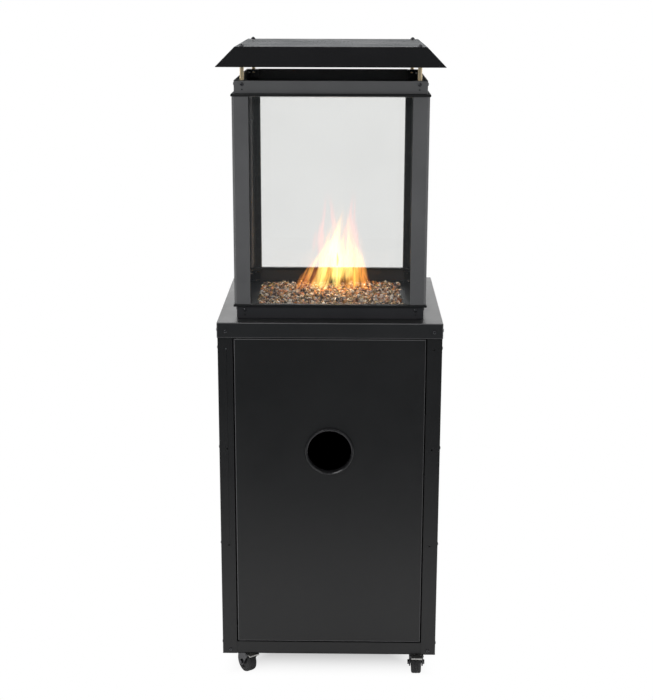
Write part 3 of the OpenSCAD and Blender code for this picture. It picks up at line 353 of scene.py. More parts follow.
def pressed(node, name, radius, edge, segments=3):
    """A copy of a CAD node with its welded faces merged, its bends rounded and its raw edges broken."""
    piece = bpy.data.objects.new(name, frame["nodes"][node].data.copy())
    bpy.context.scene.collection.objects.link(piece)
    edit(piece)
    bpy.ops.mesh.select_all(action="SELECT")
    bpy.ops.mesh.remove_doubles(threshold=WELD)
    bpy.ops.mesh.customdata_custom_splitnormals_clear()
    bpy.ops.mesh.dissolve_limited(angle_limit=math.radians(0.5))
    leave()
    weigh_bends(piece, radius, edge)
    modify(piece, "BEVEL", width=max(radius, edge), segments=segments, limit_method="WEIGHT",
           use_clamp_overlap=False)
    return smooth(piece)


def dressed(node, name, finish, radius=None, edge=None, segments=3):
    """The pressed copy of a CAD node in its finish, in the node's place."""
    radius = sizes().bend_radius if radius is None else radius
    edge = sizes().edge_break if edge is None else edge
    return finished(pressed(node, name, radius, edge, segments), finish, node)


def paint_bend_highlights(piece):
    """Paints a highlight on the rounded bends of a folded sheet: their faces get their own, lighter coat,
    which stands in for the light the bends catch.
    """
    piece.data.materials.append(material("worn_coat"))
    for face in piece.data.polygons:
        if max(abs(c) for c in face.normal) < FLAT:
            face.material_index = 1


def weigh_bends(piece, radius, edge):
    """Sets each edge's bevel weight: full on the outside of a bend, small on raw edges."""
    mesh = bmesh.new()
    mesh.from_mesh(piece.data)
    mesh.faces.ensure_lookup_table()
    layer = mesh.edges.layers.float.new("bevel_weight_edge")
    wide = [f.calc_area() > NARROW * max(e.calc_length() for e in f.edges) for f in mesh.faces]
    full = max(radius, edge)
    for line in mesh.edges:
        if len(line.link_faces) != 2 or line.calc_face_angle(0) < SHARP:
            continue
        a, b = line.link_faces
        if wide[a.index] and wide[b.index]:
            size = radius if line.is_convex else max(radius - NARROW / 2, edge)
        else:
            size = edge
        line[layer] = size / full
    mesh.to_mesh(piece.data)
    mesh.free()


# ---------------- node groups and materials

def open_group(name, amount):
    """A node group from a position, a colour, a roughness and an amount to what varies over the surface."""
    tree = bpy.data.node_groups.new(name, "ShaderNodeTree")
    for label, kind in (("Position", "Vector"), ("Colour", "Color"), ("Roughness", "Float"),
                        (amount, "Float")):
        tree.interface.new_socket(label, in_out="INPUT", socket_type=f"NodeSocket{kind}")
    for label, kind in (("Colour", "Color"), ("Roughness", "Float"), ("Height", "Float")):
        tree.interface.new_socket(label, in_out="OUTPUT", socket_type=f"NodeSocket{kind}")
    return tree, tree.nodes.new("NodeGroupInput").outputs


def close_group(tree, colour, roughness, height):
    out = tree.nodes.new("NodeGroupOutput")
    for label, value in (("Colour", colour), ("Roughness", roughness), ("Height", height)):
        tree.links.new(value, out.inputs[label])
    return tree


def node_in(tree, kind, links=(), **settings):
    """Adds a node, sets its properties and input values, and links sockets into its inputs."""
    node = tree.nodes.new(kind)
    for name, value in settings.items():
        if name in node.inputs:
            node.inputs[name].default_value = value
        else:
            setattr(node, name, value)
    for name, source in dict(links).items():
        tree.links.new(source, node.inputs[name])
    return node


def math_in(tree, operation, a, b=None):
    node = tree.nodes.new("ShaderNodeMath")
    node.operation = operation
    for socket, value in zip(node.inputs, (a, b)):
        if isinstance(value, bpy.types.NodeSocket):
            tree.links.new(value, socket)
        elif value is not None:
            socket.default_value = value
    return node.outputs[0]


def plus_in(tree, a, b):
    return math_in(tree, "ADD", a, b)


def times_in(tree, a, b):
    return math_in(tree, "MULTIPLY", a, b)


def range_in(tree, value, low, high, to_low=0.0, to_high=1.0, smoothly=False):
    node = tree.nodes.new("ShaderNodeMapRange")
    node.interpolation_type = "SMOOTHSTEP" if smoothly else "LINEAR"
    tree.links.new(value, node.inputs["Value"])
    for name, number in (("From Min", low), ("From Max", high), ("To Min", to_low), ("To Max", to_high)):
        node.inputs[name].default_value = number
    return node.outputs[0]


def noise_in(tree, place, scale, detail, roughness=0.5):
    return node_in(tree, "ShaderNodeTexNoise", {"Vector": place}, Scale=scale, Detail=detail,
                   Roughness=roughness).outputs["Fac"]


def scaled_in(tree, colour, factor):
    return node_in(tree, "ShaderNodeVectorMath", {0: colour, "Scale": factor}, operation="SCALE").outputs[0]


def blend_in(tree, factor, a, b):
    """Mixes two shaders, the second one by the factor."""
    return node_in(tree, "ShaderNodeMixShader", {0: factor, 1: a, 2: b}).outputs[0]


def relief_in(tree, shader, height, strength, distance):
    bump = node_in(tree, "ShaderNodeBump", {"Height": height}, Strength=strength, Distance=distance)
    tree.links.new(bump.outputs["Normal"], shader.inputs["Normal"])


def parts_in(tree, vector):
    """The three parts of a vector."""
    return node_in(tree, "ShaderNodeSeparateXYZ", {0: vector}).outputs


def ramp_in(tree, value, stops):
    node = tree.nodes.new("ShaderNodeValToRGB")
    elements = node.color_ramp.elements
    while len(elements) < len(stops):
        elements.new(0.5)
    for element, (position, shade) in zip(elements, stops):
        element.position = position
        element.color = (*shade, 1) if len(shade) == 3 else shade
    tree.links.new(value, node.inputs[0])
    return node.outputs[0]


def mix_in(tree, factor, a, b):
    node = tree.nodes.new("ShaderNodeMix")
    node.data_type = "RGBA"
    for socket, value in ((node.inputs[0], factor), (node.inputs[6], a), (node.inputs[7], b)):
        if isinstance(value, bpy.types.NodeSocket):
            tree.links.new(value, socket)
        else:
            socket.default_value = (*value[:3], 1)
    return node.outputs[2]


def powder_group():
    """Orange peel, fine grain and handling marks of a powder coat."""
    tree, given = open_group("Powder coat", "Grain")
    place = given["Position"]
    peel = noise_in(tree, place, 260, 2)
    grain = noise_in(tree, place, 1100, 3, 0.6)
    marks = noise_in(tree, place, 7, 6, 0.65)
    dust = noise_in(tree, place, 90, 4, 0.7)
    height = plus_in(tree, times_in(tree, peel, 0.6), times_in(tree, grain, given["Grain"]))
    tone = scaled_in(tree, given["Colour"], range_in(tree, marks, 0.3, 0.7, 0.9, 1.12))
    specks = range_in(tree, dust, 0.64, 0.8, 0.0, 0.25, smoothly=True)
    dusty = mix_in(tree, specks, tone, (0.03, 0.03, 0.029))
    rough = plus_in(tree, given["Roughness"], range_in(tree, marks, 0.3, 0.7, -0.04, 0.05))
    return close_group(tree, dusty, rough, height)


def metal_group():
    """Tool marks and slight tarnish of a bare metal."""
    tree, given = open_group("Bare metal", "Tarnish")
    place = given["Position"]
    stretch = node_in(tree, "ShaderNodeMapping", {"Vector": place}, Scale=(400, 400, 2600))
    lines = noise_in(tree, stretch.outputs[0], 1, 2)
    stain = noise_in(tree, place, 85, 5, 0.6)
    tone = scaled_in(tree, given["Colour"], range_in(tree, stain, 0.35, 0.7, 1.08, 0.72))
    tarnished = mix_in(tree, given["Tarnish"], given["Colour"], tone)
    dulled = times_in(tree, range_in(tree, stain, 0.3, 0.7, -0.06, 0.14), given["Tarnish"])
    return close_group(tree, tarnished, plus_in(tree, given["Roughness"], dulled), lines)


def moulded_group():
    """The fine spark-eroded texture of moulded plastic and rubber."""
    tree, given = open_group("Moulded", "Scuffs")
    place = given["Position"]
    grain = node_in(tree, "ShaderNodeTexVoronoi", {"Vector": place}, Scale=1400).outputs["Distance"]
    wear = range_in(tree, noise_in(tree, place, 120, 5, 0.7), 0.5, 0.75, 0.0, 0.6, smoothly=True)
    scuffed = times_in(tree, wear, given["Scuffs"])
    tone = mix_in(tree, scuffed, given["Colour"], (0.09, 0.088, 0.085))
    return close_group(tree, tone, plus_in(tree, given["Roughness"], times_in(tree, scuffed, 0.25)), grain)


GROUPS = {}
GROUP_MAKERS = {"powder": powder_group, "metal": metal_group, "moulded": moulded_group}


def group(name):
    """Each node group is built once, when a material first needs it."""
    if name not in GROUPS:
        GROUPS[name] = GROUP_MAKERS[name]()
    return GROUPS[name]


def blank_material(name):
    """A new material, its tree, its shader and the place on the object."""
    made = bpy.data.materials.new(name)
    made.use_nodes = True
    tree = made.node_tree
    return made, tree, tree.nodes["Principled BSDF"], tree.nodes.new("ShaderNodeTexCoord").outputs["Object"]


def surface(name, kind, shade, roughness, bump, distance, amount, **shader_values):
    """A material from one of the node groups.

    It takes the group's kind, the base colour, the gloss, the strength and the depth of the relief, how much
    of the group's grain, tarnish or scuffs shows, and other values of the shader.
    """
    made, tree, shader, place = blank_material(name)
    effect = tree.nodes.new("ShaderNodeGroup")
    effect.node_tree = group(kind)
    tree.links.new(place, effect.inputs["Position"])
    effect.inputs["Colour"].default_value = (*shade, 1)
    effect.inputs["Roughness"].default_value = roughness
    effect.inputs[3].default_value = amount
    tree.links.new(effect.outputs["Colour"], shader.inputs["Base Color"])
    tree.links.new(effect.outputs["Roughness"], shader.inputs["Roughness"])
    relief_in(tree, shader, effect.outputs["Height"], bump, distance)
    set_values(shader, **shader_values)
    return made


def set_values(shader, **values):
    """Sets the shader's inputs, whose names have a space for each underscore."""
    for name, value in values.items():
        shader.inputs[name.replace("_", " ")].default_value = value


MATERIALS = {}
MAKERS = {}


def maker(build):
    """Registers a function that makes a material under the function's own name."""
    MAKERS[build.__name__] = build
    return build


def material(name):
    """Each material is built once, when a piece first needs it."""
    if name not in MATERIALS:
        MATERIALS[name] = MAKERS[name](name.replace("_", " ").capitalize())
    return MATERIALS[name]


@maker
def powder_coat(name):
    return surface(name, "powder", colours().coat, 0.36, 0.20, 0.15 * MM, 0.5, Specular_IOR_Level=0.46)


@maker
def cap_coat(name):
    return surface(name, "powder", colours().coat, 0.33, 0.18, 0.15 * MM, 0.5, Specular_IOR_Level=0.8)


# Painted highlight on the bends: a lighter coat in place of the light they catch.
@maker
def worn_coat(name):
    return surface(name, "powder", colours().worn, 0.30, 0.12, 0.1 * MM, 0.4, Specular_IOR_Level=0.6)


@maker
def roof_coat(name):
    return surface(name, "powder", colours().coat, 0.14, 0.06, 0.03 * MM, 0.3, Specular_IOR_Level=0.3)


@maker
def collar_coat(name):
    return surface(name, "powder", colours().collar, 0.36, 0.20, 0.15 * MM, 0.5, Specular_IOR_Level=0.5)


@maker
def satin_coat(name):
    return surface(name, "powder", colours().satin, 0.36, 0.16, 0.1 * MM, 0.4, Specular_IOR_Level=0.5)


@maker
def zinc_steel(name):
    return surface(name, "metal", colours().steel, 0.24, 0.1, 0.05 * MM, 0.5, Metallic=1)


@maker
def black_steel(name):
    return surface(name, "metal", colours().dark_steel, 0.16, 0.1, 0.05 * MM, 0.5, Metallic=0.8,
                   Specular_IOR_Level=0.8)


@maker
def brass(name):
    return surface(name, "metal", colours().brass, 0.28, 0.05, 0.03 * MM, 0.12, Metallic=0.75)


@maker
def stainless(name):
    return surface(name, "metal", colours().stainless, 0.3, 0.15, 0.05 * MM, 0.8, Metallic=1)


@maker
def aluminium(name):
    return surface(name, "metal", colours().aluminium, 0.36, 0.2, 0.06 * MM, 0.4, Metallic=1)


@maker
def copper(name):
    return surface(name, "metal", colours().copper, 0.28, 0.1, 0.04 * MM, 0.9, Metallic=1)


@maker
def rubber(name):
    return surface(name, "moulded", colours().rubber, 0.6, 0.3, 0.1 * MM, 0.7)


@maker
def black_plastic(name):
    return surface(name, "moulded", colours().plastic, 0.42, 0.25, 0.08 * MM, 0.35)


@maker
def gloss_plastic(name):
    return surface(name, "moulded", colours().plastic, 0.16, 0.05, 0.05 * MM, 0.3)


@maker
def button_plastic(name):
    return surface(name, "moulded", colours().button, 0.25, 0.08, 0.05 * MM, 0.2)


@maker
def ceramic(name):
    return surface(name, "moulded", colours().ceramic, 0.2, 0.08, 0.05 * MM, 0.15, Coat_Weight=0.4)


@maker
def mark_paint(name):
    return surface(name, "moulded", colours().marks, 0.5, 0.05, 0.03 * MM, 0.1)


@maker
def pane_glass(name):
    """Clear toughened glass that lets the light of the lamps through."""
    glass, tree, shader, place = blank_material(name)
    set_values(shader, Roughness=0.0, IOR=1.5, Transmission_Weight=1)
    film = range_in(tree, noise_in(tree, place, 9, 4, 0.55), 0.4, 0.75, smoothly=True)
    smeared = [SMEAR * shade for shade in colours().glass]
    tree.links.new(mix_in(tree, film, colours().glass, smeared), shader.inputs["Base Color"])
    clear = node_in(tree, "ShaderNodeBsdfTransparent", Color=(*colours().glass, 1))
    path = tree.nodes.new("ShaderNodeLightPath")
    unlit = math_in(tree, "MAXIMUM", path.outputs["Is Shadow Ray"], path.outputs["Is Diffuse Ray"])
    tree.links.new(blend_in(tree, unlit, shader.outputs[0], clear.outputs[0]),
                   tree.nodes["Material Output"].inputs["Surface"])
    return glass


def chip_material(name, shades, metallic, roughness, transmission):
    """Fire glass whose shade changes from chip to chip."""
    glass, tree, shader, place = blank_material(name)
    own = node_in(tree, "ShaderNodeAttribute", attribute_name="chip")
    count = len(shades) - 1
    tint = ramp_in(tree, own.outputs["Fac"], [(i / count, shade) for i, shade in enumerate(shades)])
    cloud = noise_in(tree, place, 320, 3)
    faded = scaled_in(tree, tint, range_in(tree, cloud, 0.3, 0.7, 0.7, 1.25))
    dulled = range_in(tree, cloud, 0.35, 0.7, roughness, roughness + 0.12)
    tree.links.new(faded, shader.inputs["Base Color"])
    tree.links.new(dulled, shader.inputs["Roughness"])
    relief_in(tree, shader, cloud, 0.25, 0.4 * MM)
    set_values(shader, Metallic=metallic, Transmission_Weight=transmission, IOR=1.52)
    return glass


@maker
def mirror_chips(name):
    return chip_material(name, [(0.34, 0.21, 0.12), (0.64, 0.44, 0.25), (0.26, 0.17, 0.15),
                                (0.80, 0.66, 0.48), (0.36, 0.27, 0.11)], 0.8, 0.12, 0.0)


@maker
def amber_chips(name):
    return chip_material(name, [(0.36, 0.11, 0.04), (0.58, 0.29, 0.10), (0.48, 0.24, 0.17),
                                (0.70, 0.45, 0.23), (0.34, 0.27, 0.09)], 0.0, 0.05, 0.2)


@maker
def clear_chips(name):
    return chip_material(name, [(0.52, 0.45, 0.36), (0.82, 0.77, 0.69), (0.42, 0.34, 0.30),
                                (0.95, 0.92, 0.87)], 0.0, 0.04, 0.25)


@maker
def smoke_chips(name):
    return chip_material(name, [(0.05, 0.036, 0.034), (0.13, 0.10, 0.085), (0.08, 0.052, 0.056)],
                         0.0, 0.08, 0.0)


@maker
def flame(name):
    """Thin sheets of burning gas: the attribute "warmth" runs from pink wisps to yellow cores."""
    made, tree, shader, place = blank_material(name)
    along = node_in(tree, "ShaderNodeUVMap", uv_map="UVMap").outputs[0]
    across, rise, _ = parts_in(tree, along)
    edge = times_in(tree, across, math_in(tree, "SUBTRACT", 1, across))
    centre = range_in(tree, edge, 0.0, 0.22, smoothly=True)
    root = range_in(tree, rise, 0.0, 0.09, 0.1, 1.0, smoothly=True)
    tip = range_in(tree, rise, 0.4, 1.0, 1.0, 0.0, smoothly=True)
    drawn = node_in(tree, "ShaderNodeCombineXYZ", {
        0: times_in(tree, across, 3), 1: times_in(tree, rise, 1.1),
        2: times_in(tree, parts_in(tree, place)[1], 150)})
    streak = noise_in(tree, drawn.outputs[0], 1, 3, 0.55)
    lick = range_in(tree, streak, 0.38, 0.6, 0.04, 1.0, smoothly=True)
    own = node_in(tree, "ShaderNodeAttribute", attribute_name="warmth").outputs["Fac"]
    cooler = range_in(tree, rise, 0.55, 1.0, 0.0, 0.5)
    livelier = range_in(tree, streak, 0.35, 0.65, -0.16, 0.16)
    warmth = plus_in(tree, math_in(tree, "SUBTRACT", own, cooler), livelier)
    glow = ramp_in(tree, warmth, [
        (0.0, (1.0, 0.10, 0.07)), (0.25, (0.85, 0.20, 0.07)), (0.5, (1.0, 0.34, 0.05)),
        (0.75, (1.0, 0.52, 0.10)), (1.0, (1.0, 0.80, 0.24))])
    weight = times_in(tree, times_in(tree, centre, root), times_in(tree, tip, lick))
    strength = range_in(tree, own, 0.0, 1.0, 0.03, 0.10)
    tree.links.new(glow, shader.inputs["Emission Color"])
    tree.links.new(times_in(tree, weight, strength), shader.inputs["Alpha"])
    set_values(shader, Base_Color=(0, 0, 0, 1), Specular_IOR_Level=0, Roughness=1, Emission_Strength=10)
    return made


# ---------------- the stage

def sight_in(tree):
    """Masks of the rays that look straight, or through clear glass, and of those that a gloss turned."""
    path = tree.nodes.new("ShaderNodeLightPath").outputs
    turned_once = math_in(tree, "GREATER_THAN", path["Glossy Depth"], 0.5)
    through = times_in(tree, path["Is Transmission Ray"], math_in(tree, "SUBTRACT", 1, turned_once))
    seen = math_in(tree, "MAXIMUM", path["Is Camera Ray"], through)
    mirrored = math_in(tree, "MAXIMUM", path["Is Glossy Ray"],
                       times_in(tree, path["Is Transmission Ray"], turned_once))
    return seen, times_in(tree, mirrored, math_in(tree, "SUBTRACT", 1, seen))


WHITE = (1, 1, 1, 1)
DUSK = (0.82, 0.92, 1, 1)  # the cool tone of the dark part of the room
FLOOR_RADIUS = 14
CAMERA_PLACE = (0.0333, -2.9105, 1.4278)
CAMERA_PAN, CAMERA_DIP, CAMERA_ROLL = 0.0148, 0.2593, 0.0022
LENS = 71.81  # millimetres, on a sensor 36 mm wide
# Each soft box: place, what it faces, width and height, power
SOFTBOXES = {
    "key_softbox": ((-1.3, -2.9, 2.5), (0, 0, 0.9), (1.5, 1.1), 26),
    "fill_softbox": ((1.6, -2.8, 1.9), (0, 0, 0.9), (1.3, 1.3), 5),
    "overhead_softbox": ((0, 0.2, 3.2), (0, 0, 0), (2.6, 2.6), 45),
    "left_strip": ((-2.4, 0.7, 1.2), (0, 0, 0.8), (0.5, 2.0), 10),
    "right_strip": ((2.4, 0.7, 1.2), (0, 0, 0.8), (0.5, 2.0), 10),
}


class HEATER_OT_stage(bpy.types.Operator):
    """Sets the floor, the studio light and the camera"""

    bl_idname = "heater.stage"
    bl_label = "Stage"

    def execute(self, context):
        scene = context.scene
        scene.view_settings.view_transform = "Standard"
        self.floor()
        self.world(scene)
        self.lamps()
        self.camera(scene)
        return {"FINISHED"}

    def floor(self):
        """A matt floor that turns white away from the heater, for the eye alone, and dark for reflections."""
        floor = fresh(bpy.ops.mesh.primitive_circle_add, "studio_floor", vertices=96, radius=FLOOR_RADIUS,
                      fill_type="NGON")
        white, tree, shader, place = blank_material("Studio floor")
        set_values(shader, Base_Color=(*colours().floor, 1), Roughness=0.9, Specular_IOR_Level=0)
        x, y, _ = parts_in(tree, place)
        reach = math_in(tree, "MAXIMUM", math_in(tree, "ABSOLUTE", x), math_in(tree, "ABSOLUTE", y))
        far = range_in(tree, reach, 0.06, 0.235, 0.3, 1.0, smoothly=True)
        ahead = range_in(tree, y, -0.6, -1.5, smoothly=True)
        seen, mirrored = sight_in(tree)
        paper = node_in(tree, "ShaderNodeEmission", Color=WHITE, Strength=1.0)
        dim = node_in(tree, "ShaderNodeEmission", Color=DUSK, Strength=0.16)
        lit = blend_in(tree, times_in(tree, far, seen), shader.outputs[0], paper.outputs[0])
        tree.links.new(blend_in(tree, times_in(tree, ahead, mirrored), lit, dim.outputs[0]),
                       tree.nodes["Material Output"].inputs["Surface"])
        floor.data.materials.append(white)

    def world(self, scene):
        """White for the eye; reflections find a bright low band behind the heater in a dim room."""
        scene.world = bpy.data.worlds.new("Studio")
        scene.world.use_nodes = True
        tree = scene.world.node_tree
        base, dim, bright, paper = (
            node_in(tree, "ShaderNodeBackground", Color=tone, Strength=strength).outputs[0]
            for tone, strength in ((WHITE, 0.6), (DUSK, 0.1), (WHITE, 1.8), (WHITE, 1.0)))
        seen, mirrored = sight_in(tree)
        _, y, z = parts_in(tree, tree.nodes.new("ShaderNodeTexCoord").outputs["Generated"])
        behind = range_in(tree, y, -0.1, 0.6, smoothly=True)
        low = times_in(tree, range_in(tree, z, 0.09, 0.17, 0.05, 1.0, smoothly=True),
                       range_in(tree, z, 0.3, 0.65, 1.0, 0.0, smoothly=True))
        glossy = blend_in(tree, times_in(tree, behind, low), dim, bright)
        unseen = blend_in(tree, mirrored, base, glossy)
        tree.links.new(blend_in(tree, seen, unseen, paper), tree.nodes["World Output"].inputs["Surface"])

    def lamp(self, name, kind, place, power):
        lamp = bpy.data.objects.new(name, bpy.data.lights.new(name, kind))
        lamp.data.energy = power
        lamp.location = place
        bpy.context.scene.collection.objects.link(lamp)
        return lamp

    def lamps(self):
        for name, (place, target, size, power) in SOFTBOXES.items():
            lamp = self.lamp(name, "AREA", place, power)
            lamp.data.shape = "RECTANGLE"
            lamp.data.size, lamp.data.size_y = size
            lamp.rotation_euler = (Vector(target) - Vector(place)).to_track_quat("-Z", "Y").to_euler()
            lamp.visible_glossy = name != "overhead_softbox"
        place = (0.005, sizes().flame_depth - 0.03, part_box("fire_glass")[1].z + 0.055)
        glow = self.lamp("flame_glow", "POINT", place, 0.45)
        glow.data.color = (1.0, 0.52, 0.18)
        glow.data.shadow_soft_size = 0.03
        glow.visible_camera = glow.visible_glossy = glow.visible_transmission = False

    def camera(self, scene):
        data = bpy.data.cameras.new("camera")
        data.lens = LENS
        data.sensor_width = 36
        camera = bpy.data.objects.new("camera", data)
        scene.collection.objects.link(camera)
        camera.location = CAMERA_PLACE
        camera.rotation_euler = (
            Matrix.Rotation(CAMERA_PAN, 3, "Z") @ Matrix.Rotation(math.pi / 2 - CAMERA_DIP, 3, "X")
            @ Matrix.Rotation(CAMERA_ROLL, 3, "Z")).to_euler()
        scene.camera = camera


# ---------------- cabinet and door

class HEATER_OT_cabinet(bpy.types.Operator):
    """Rounds the bends of the cabinet's sheet metal"""

    bl_idname = "heater.cabinet"
    bl_label = "Cabinet"

    def execute(self, context):
        # The bends of the cabinet top get a painted highlight.
        paint_bend_highlights(dressed("cabinet_top", "cabinet_top_sheet", "cap_coat"))
        for node in ("side_panel_left", "side_panel_right", "rear_panel", "floor_pan", "control_plate",
                     *(f"corner_post_{corner}" for corner in CORNERS)):
            dressed(node, f"{node}_sheet", "powder_coat")
        return {"FINISHED"}


class HEATER_OT_door(bpy.types.Operator):
    """Folds the door and turns the bezel of its hand hole"""

    bl_idname = "heater.door"
    bl_label = "Door"

    def execute(self, context):
        # The bends of the door get a painted highlight.
        paint_bend_highlights(dressed("door_panel", "door_sheet", "powder_coat"))
        self.bezel()
        dressed("door_pivot_brackets", "door_pivot_brackets_part", "zinc_steel", 0.5 * MM, segments=2)
        dressed("door_catch", "door_catch_part", "black_plastic", 0.5 * MM, segments=2)
        return {"FINISHED"}

    def bezel(self):
        """The pressed ring, whose heights run from its front, at 0, back to the end of its neck."""
        low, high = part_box("door_bezel")
        middle = (low + high) / 2
        outer = (high.x - low.x) / 2
        depth = high.y - low.y
        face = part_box("door_panel")[0].y - low.y
        inner = outer - 6 * MM
        neck = inner + 1.2 * MM
        profile = [
            (neck, -depth), (neck, -face), (outer, -face), (outer, -face * 0.55),
            (outer - 0.9 * MM, -face * 0.2), (outer - 2.2 * MM, -0.1 * MM), (inner + 2.4 * MM, 0),
            (inner + 0.9 * MM, -face * 0.16), (inner, -face * 0.5), (inner, -depth), (neck, -depth)]
        ring = soften(turned("door_bezel_ring", profile, 96), 0.25 * MM)
        placed(ring, facing((0, -1, 0), (middle.x, low.y, middle.z)))
        finished(ring, "gloss_plastic", "door_bezel")


# ---------------- lantern and roof

class HEATER_OT_lantern(bpy.types.Operator):
    """Finishes the collars, end frames, posts, brackets and glass"""

    bl_idname = "heater.lantern"
    bl_label = "Lantern"

    def execute(self, context):
        dressed("lower_collar", "lower_collar_sheet", "collar_coat")
        # The inside of the upper collar gets painted shade.
        self.paint_inside_shade(dressed("upper_collar", "upper_collar_sheet", "satin_coat"))
        dressed("collar_brackets", "collar_bracket_plates", "powder_coat", 1.0 * MM, segments=2)
        dressed("lantern_end_frames", "lantern_end_castings", "powder_coat", 1.2 * MM, 0.6 * MM)
        for corner in CORNERS:
            node = f"lantern_post_{corner}"
            dressed(node, f"{node}_profile", "satin_coat", 0.6 * MM)
        for side in SIDES:
            node = f"glass_{side}"
            dressed(node, f"{node}_pane", "pane_glass", 0.5 * MM, 0.5 * MM, 2)
        return {"FINISHED"}

    def paint_inside_shade(self, collar):
        """Paints shade inside a collar: its inward faces take the plain black coat in place of the collar's
        own coat.
        """
        collar.data.materials.append(material("powder_coat"))
        for face in collar.data.polygons:
            outward = Vector((face.center.x, face.center.y, 0))
            if outward.dot(face.normal) < -0.3 * outward.length:
                face.material_index = 1


class HEATER_OT_roof(bpy.types.Operator):
    """Folds the roof and turns its brass standoffs and nuts"""

    bl_idname = "heater.roof"
    bl_label = "Roof"

    def execute(self, context):
        dressed("roof", "roof_sheet", "roof_coat")
        self.standoffs()
        self.nuts()
        return {"FINISHED"}

    def standoffs(self):
        pieces = [self.standoff(low, high) for low, high in islands("roof_standoffs")]
        finished(joined(pieces, "standoff_posts"), "brass", "roof_standoffs")

    def standoff(self, low, high):
        """A turned post with a chamfer and a groove at each end, and its studs."""
        middle = (low + high) / 2
        r = (high.x - low.x) / 2
        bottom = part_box("upper_collar")[1].z
        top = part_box("roof")[1].z - SHEET
        stud = 2.5 * MM
        tip = 0.6 * MM
        chamfer, groove = 0.5 * MM, 0.35 * MM
        ends = [(r - chamfer, 0), (r, chamfer), (r, 2.2 * MM), (r - groove, 2.5 * MM),
                (r - groove, 3.0 * MM), (r, 3.3 * MM)]
        profile = [(0, low.z), (stud * 0.8, low.z), (stud, low.z + tip), (stud, bottom)]
        profile += [(a, bottom + b) for a, b in ends] + [(a, top - b) for a, b in reversed(ends)]
        profile += [(stud, top), (stud, high.z - tip), (stud * 0.8, high.z), (0, high.z)]
        post = smooth(turned("standoff", profile, 32), 35)
        return placed(post, Matrix.Translation((middle.x, middle.y, 0)))

    def nuts(self):
        plain, domed = [], []
        roof_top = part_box("roof")[1].z
        for low, high in islands("roof_nuts"):
            middle = (low + high) / 2
            across = min(high.x - low.x, high.y - low.y)
            if low.z > roof_top - 1 * MM:
                domed.append(self.dome_nut(across, high.z - low.z, middle, low.z))
            else:
                plain.append(hex_nut(across, high.z - low.z, middle, low.z))
        finished(joined(domed + plain, "roof_nut_set"), "black_steel", "roof_nuts")

    def dome_nut(self, across, height, middle, z):
        """A hexagon below and a half-round cap above."""
        flat = min(height * 0.5, 3.2 * MM)
        sunk = 0.2 * MM
        nut = hex_nut(across, flat, Vector((0, 0, 0)), 0)
        r = across * 0.44
        arc = [(r * math.cos(a), flat - sunk + (height - flat + sunk) * math.sin(a))
               for a in (math.radians(90 * i / 8) for i in range(8))]
        cap = smooth(turned("nut_cap", [(0, 0.3 * MM), (r, 0.3 * MM), *arc, (0, height)], 32), 50)
        return placed(joined([nut, cap], "dome_nut"), Matrix.Translation((middle.x, middle.y, z)))


# ---------------- screws

class HEATER_OT_screws(bpy.types.Operator):
    """Models the cross-recessed screws and sets one in each hole"""

    bl_idname = "heater.screws"
    bl_label = "Screws"

    def execute(self, context):
        self.set_of("panel_screws")
        self.set_of("collar_screws")
        return {"FINISHED"}

    def set_of(self, node):
        """Sets a head and a shank in the place of each of the node's screws."""
        masters, heads, shanks = {}, [], []
        for low, high in islands(node):
            size = high - low
            axis = max(range(3), key=lambda i: size[i])
            middle = (low + high) / 2
            direction = self.outward(axis, middle)
            top = middle + direction * (size[axis] / 2)
            radius = min(size[(axis + 1) % 3], size[(axis + 2) % 3]) / 2
            key = (round(radius, 5), round(size[axis], 5))
            if key not in masters:
                masters[key] = (self.head(radius), self.shank(size[axis]))
            spin = Matrix.Rotation(random.Random(f"{middle}").uniform(0, math.pi), 4, "Z")
            for master, copies in zip(masters[key], (heads, shanks)):
                copies.append(copy_of(master, facing(direction, top) @ spin))
        removed(*(piece for pair in masters.values() for piece in pair))
        finished(joined(heads, f"{node}_heads"), "black_steel", node)
        extra(joined(shanks, f"{node}_shanks"), "zinc_steel", node)

    def outward(self, axis, middle):
        """The direction of a screw's head: away from the heater's axis, or from the lantern's middle."""
        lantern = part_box("glass_front")
        centre = (lantern[0].z + lantern[1].z) / 2 if axis == 2 else 0
        sign = 1 if middle[axis] > centre else -1
        return Vector([sign if i == axis else 0 for i in range(3)])

    def shank(self, length):
        """The threaded length below a screw's head, with its chamfered end."""
        r, pitch, depth = 2.0 * MM, 0.7 * MM, 0.25 * MM
        start = SCREW_HEAD - 0.1 * MM  # a little inside the head
        turns = int((length - SCREW_HEAD - 1.0 * MM) / pitch)
        thread = [(r - depth * (i % 2), -SCREW_HEAD - i * pitch / 2) for i in range(1, 2 * turns + 1)]
        profile = [(0, -start), (r, -start), *thread, (r * 0.6, -length), (0, -length)]
        return smooth(turned("shank", profile, 12), 20)

    def head(self, radius):
        """A pan head with a cross recess, whose top is at height 0."""
        profile = [(0, 0), (radius * 0.5, -0.05 * MM), (radius * 0.78, -0.32 * MM),
                   (radius * 0.93, -0.8 * MM), (radius, -1.5 * MM), (radius, -SCREW_HEAD), (0, -SCREW_HEAD)]
        screw = turned("screw", profile, 24)
        half, reach, depth = 0.42 * MM, radius * 0.52, 1.2 * MM
        for turn in (0, math.pi / 2):
            slot = bar("slot", (-reach, -half, -depth), (reach, half, 1 * MM))
            cut(screw, placed(slot, Matrix.Rotation(turn, 4, "Z")))
        return smooth(screw, 35)


# ---------------- casters

